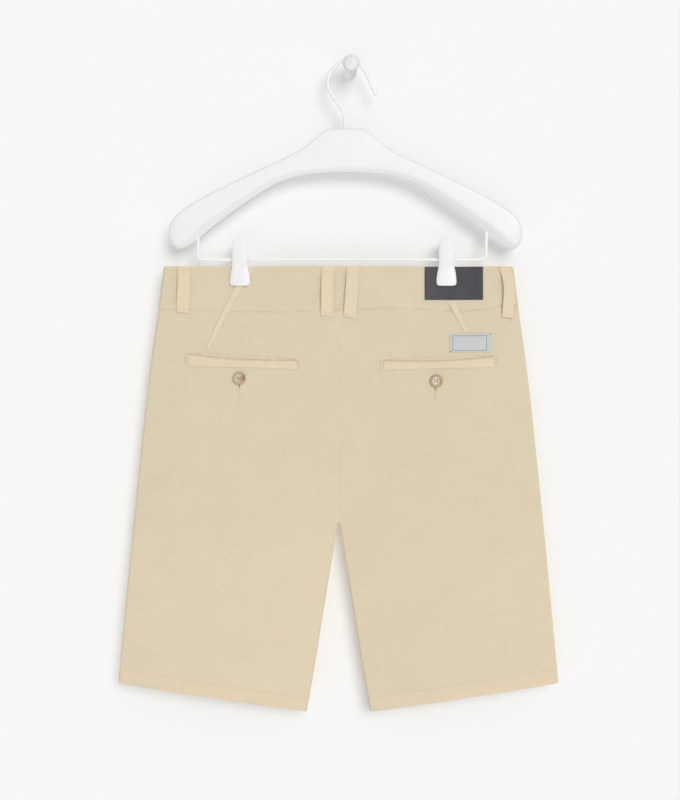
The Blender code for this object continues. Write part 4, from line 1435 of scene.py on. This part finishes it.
def stitch_nodes():
    """Lays stitches along a line of points, each turned along it and flat on the cloth."""
    group = bpy.data.node_groups.new("stitch_row", "GeometryNodeTree")
    sockets = (
        ("Line", "NodeSocketGeometry", None),
        ("Pitch", "NodeSocketFloat", 0.003),
        ("Length", "NodeSocketFloat", 0.0022),
        ("Width", "NodeSocketFloat", 0.0006),
        ("Turn", "NodeSocketFloat", 0.0),
        ("Seed", "NodeSocketInt", 7),
        ("Thread", "NodeSocketMaterial", None),
    )
    for name, kind, value in sockets:
        socket = group.interface.new_socket(name, in_out="INPUT", socket_type=kind)
        if value is not None:
            socket.default_value = value
    group.interface.new_socket("Stitches", in_out="OUTPUT", socket_type="NodeSocketGeometry")

    def node(kind, settings=None, sockets=None):
        made = group.nodes.new(kind)
        for setting, value in (settings or {}).items():
            setattr(made, setting, value)
        for name, value in (sockets or {}).items():
            if isinstance(value, bpy.types.NodeSocket):
                group.links.new(value, made.inputs[name])
            else:
                made.inputs[name].default_value = value
        return made.outputs

    given = node("NodeGroupInput")
    line = node("GeometryNodeMeshToCurve", {}, {"Mesh": given["Line"]})["Curve"]
    spaced = {"Curve": line, "Length": given["Pitch"]}
    places = node("GeometryNodeResampleCurve", {"mode": "LENGTH"}, spaced)["Curve"]
    as_vector = {"data_type": "FLOAT_VECTOR"}
    up = node("GeometryNodeInputNamedAttribute", as_vector, {"Name": "up"})["Attribute"]
    way = node("GeometryNodeInputTangent")["Tangent"]
    flat = node("FunctionNodeAlignRotationToVector", {"axis": "Z"}, {"Vector": up})["Rotation"]
    ahead = {"Rotation": flat, "Vector": way}
    about_up = {"axis": "X", "pivot_axis": "Z"}
    laid_flat = node("FunctionNodeAlignRotationToVector", about_up, ahead)["Rotation"]
    uneven = {2: -SKEW, 3: SKEW, "Seed": given["Seed"]}
    skew = node("FunctionNodeRandomValue", {"data_type": "FLOAT"}, uneven)[1]
    angle = node("ShaderNodeMath", {"operation": "ADD"}, {0: skew, 1: given["Turn"]})[0]
    spin = node("ShaderNodeCombineXYZ", {}, {"Z": angle})["Vector"]
    turn = node("FunctionNodeEulerToRotation", {}, {"Euler": spin})["Rotation"]
    turned = {"Rotation": laid_flat, "Rotate By": turn}
    final = node("FunctionNodeRotateRotation", {"rotation_space": "LOCAL"}, turned)["Rotation"]
    ball = node("GeometryNodeMeshUVSphere", {}, {"Segments": 6, "Rings": 5, "Radius": 0.5})["Mesh"]
    sides = {"X": given["Length"], "Y": given["Width"], "Z": given["Width"]}
    size = node("ShaderNodeCombineXYZ", {}, sides)["Vector"]
    stitches = {"Points": places, "Instance": ball, "Rotation": final, "Scale": size}
    laid_down = node("GeometryNodeInstanceOnPoints", {}, stitches)["Instances"]
    real = node("GeometryNodeRealizeInstances", {}, {"Geometry": laid_down})["Geometry"]
    dyed = node("GeometryNodeSetMaterial", {}, {"Geometry": real, "Material": given["Thread"]})
    node("NodeGroupOutput", {}, {"Stitches": dyed["Geometry"]})
    return group


def with_ways_out(points, face):
    return points, np.tile([0, face, 0], (len(points), 1))


def row_points(x, drop, face, lift):
    """A row's points on the cloth, and the way out of the cloth there."""
    x, drop = np.broadcast_arrays(np.asarray(x, float), np.asarray(drop, float))
    moved = creased(x, drop, face) + sewn(x, drop, face) * 0.4
    moved = np.where(drop < BAND_HEIGHT, band_worn(x, drop, face), moved)
    return with_ways_out(on_cloth(x, drop, face, lift, moved), face)


def sew(name, rows, thread, pitch=3.0, length=2.3, width=0.55, turn=0.0):
    """Rows of stitches, each row an array of points with its ways out of the cloth, as one piece."""
    points, ups = (np.vstack(column) for column in zip(*rows))
    edges = []
    first = 0
    for row, _ in rows:
        edges += [(index, index + 1) for index in range(first, first + len(row) - 1)]
        first += len(row)
    mesh = bpy.data.meshes.new(name)
    mesh.from_pydata((points * MM).tolist(), edges, [])
    layer = mesh.attributes.new("up", "FLOAT_VECTOR", "POINT")
    layer.data.foreach_set("vector", ups.astype(np.float32).ravel())
    made = bpy.data.objects.new(name, mesh)
    bpy.context.scene.collection.objects.link(made)
    rule = made.modifiers.new("stitches", "NODES")
    rule.node_group = bpy.data.node_groups.get("stitch_row") or stitch_nodes()
    given = {"Pitch": pitch * MM, "Length": length * MM, "Width": width * MM}
    given |= {"Turn": turn, "Seed": 7, "Thread": thread}
    for socket in rule.node_group.interface.items_tree:
        if socket.in_out == "INPUT" and socket.name in given:
            rule[socket.identifier] = given[socket.name]
    make_plain(made, rule)
    made.data.shade_smooth()
    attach(made, "root")
    return made


def line_between(start, end, face, lift, steps=12):
    part = np.linspace(0, 1, steps)
    x = start[0] + (end[0] - start[0]) * part
    drop = start[1] + (end[1] - start[1]) * part
    return row_points(x, drop, face, lift)


def hem_row(side, face):
    part = np.linspace(0.012, 0.988, 90)
    outer_x = smooth(SECTIONS, HALF_WIDTH, HEM_OUTER_DROP - HEM_HEIGHT)
    inner_x = smooth(INSEAMS, 1, HEM_INNER_DROP - HEM_HEIGHT)
    x = side * (outer_x + (inner_x - outer_x) * part)
    above = hem_edge(x, np.zeros(90))
    return row_points(x, above - HEM_HEIGHT + 0.8, face, ON_FACE)


def sew_panels(thread):
    """Each panel's hem, its centre seam, and the fly's curve and the pocket's edge on the front."""
    on_trim = SEAM_GAP + TRIM_WALL
    made = {}
    for (cut, hand), panel in panels.items():
        face, side = CUTS[cut], SIDES[hand]
        rows = [hem_row(side, face)]
        if hand == "right":
            start = 57 if cut == "back" else 212
            ends = (SEAM_TOPSTITCH, start), (SEAM_TOPSTITCH, 316)
            rows.append(line_between(*ends, face, ON_FACE, 90))
        if cut == "front":
            top, low = ((side * (x + 3), drop) for x, drop in (FRONT_POCKET[0], FRONT_POCKET[2]))
            rows.append(line_between(top, low, face, on_trim, 50))
        if cut == "front" and hand == "left":
            bend = np.linspace(0, 1, 60)
            x = -34.5 + 5 * bend + 25 * bend**7
            rows.append(row_points(x, 56 + 146 * bend**0.8, face, on_trim))
        made[cut, hand] = sew(f"stitches_{cut}_{hand}", rows, thread)
    return made


def sew_bands(thread):
    made = {}
    for (cut, hand), band in bands.items():
        face, side = CUTS[cut], SIDES[hand]
        top = BAND_TOPS[face] + 4.6
        row = line_between((side, top), (side * 214, top), face, BAND_STEP + ON_FACE, 120)
        made[cut, hand] = sew(f"stitches_band_{cut}_{hand}", [row], thread)
    return made


def loop_row(loop, part, steps):
    """A row on a loop's outer face."""
    _, outer = loop_layers(loop, np.atleast_1d(part), np.atleast_1d(steps))[0]
    return with_ways_out(outer.reshape(-1, 3), loop.face)


def sew_loops(thread):
    """Both edges of each loop, and the bar-tacks at its ends."""
    part = np.linspace(0.03, 0.985, 50)
    edges = [loop_row(loop, part, step) for loop in LOOPS for step in (-LOOP_EDGE, LOOP_EDGE)]
    tacks = []
    for loop in LOOPS:
        low_tack = 1 - LOOP_TACK / (loop.low_drop - loop_top(loop))
        for at in (LOOP_TACK / loop.low_drop, low_tack):
            tacks.append(loop_row(loop, at, np.linspace(-0.9, 0.9, 12)))
    sew("stitches_loops", edges, thread, pitch=2.4, length=1.9, width=0.5)
    sew("bar_tacks_loops", tacks, thread, pitch=0.5, length=1.5, width=0.42, turn=ACROSS)


def sew_pockets(thread):
    """The bars across the ends of each pocket's mouth, and the purled edges of its buttonhole."""
    bars = []
    purls = []
    for mouth in MOUTHS.values():
        for (x, drop), out, high in ((mouth.left, -3.4, 11.5), (mouth.right, 3.4, 10.5)):
            bars.append(line_between((x + out, drop - 0.6), (x + out, drop + high), BACK, 0.3))
    for x, top, _, end in BUTTONHOLES:
        for out in (-1.15, 1.15):
            purls.append(line_between((x + out, top), (x + out * 0.6, end), BACK, 0.12, 24))
        purls.append(line_between((x - 1.3, end + 0.4), (x + 1.3, end + 0.4), BACK, 0.12))
    sew("bar_tacks_pockets", bars, thread, pitch=0.6, length=1.8, width=0.45, turn=ACROSS)
    sew("buttonholes", purls, thread, pitch=0.5, length=1.0, width=0.45, turn=ACROSS)


def sew_buttons():
    """Two bars of thread over each button's holes."""
    thread = thread_finish("horn_button_thread", (0.3, 0.24, 0.2))
    rows = []
    for button in BUTTONS:
        seat = button_seat(button)
        for x in (-THREAD_HOLE_OFFSET, THREAD_HOLE_OFFSET):
            points = [seat + [x + out, button.face * 1.55, 0] for out in (-0.36, 0, 0.36)]
            rows.append(with_ways_out(np.array(points), button.face))
    sew("button_threads", rows, thread, pitch=0.36, length=4.0, width=0.5, turn=ACROSS)


def sew_label():
    """The dark stitches that hold the woven label at two of its corners."""
    thread = thread_finish("dark_label_thread", (0.13, 0.13, 0.135))
    lift = SEAM_GAP + LABEL_WALL
    tacks = []
    for corner, inward in ((LABEL[1], (-1.6, 1.6)), (LABEL[2], (1.6, -1.6))):
        start = (corner[0] + inward[0] * 0.2, corner[1] + inward[1] * 0.4)
        tacks.append(line_between(start, (start[0] + inward[0], start[1]), BACK, lift, 4))
    sew("label_tacks", tacks, thread, pitch=0.5, length=1.3, width=0.5, turn=ACROSS)


thread = thread_finish("beige_thread", (0.74, 0.65, 0.485))
panel_stitches = sew_panels(thread)
band_stitches = sew_bands(thread)
sew_loops(thread)
sew_pockets(thread)
sew_buttons()
sew_label()
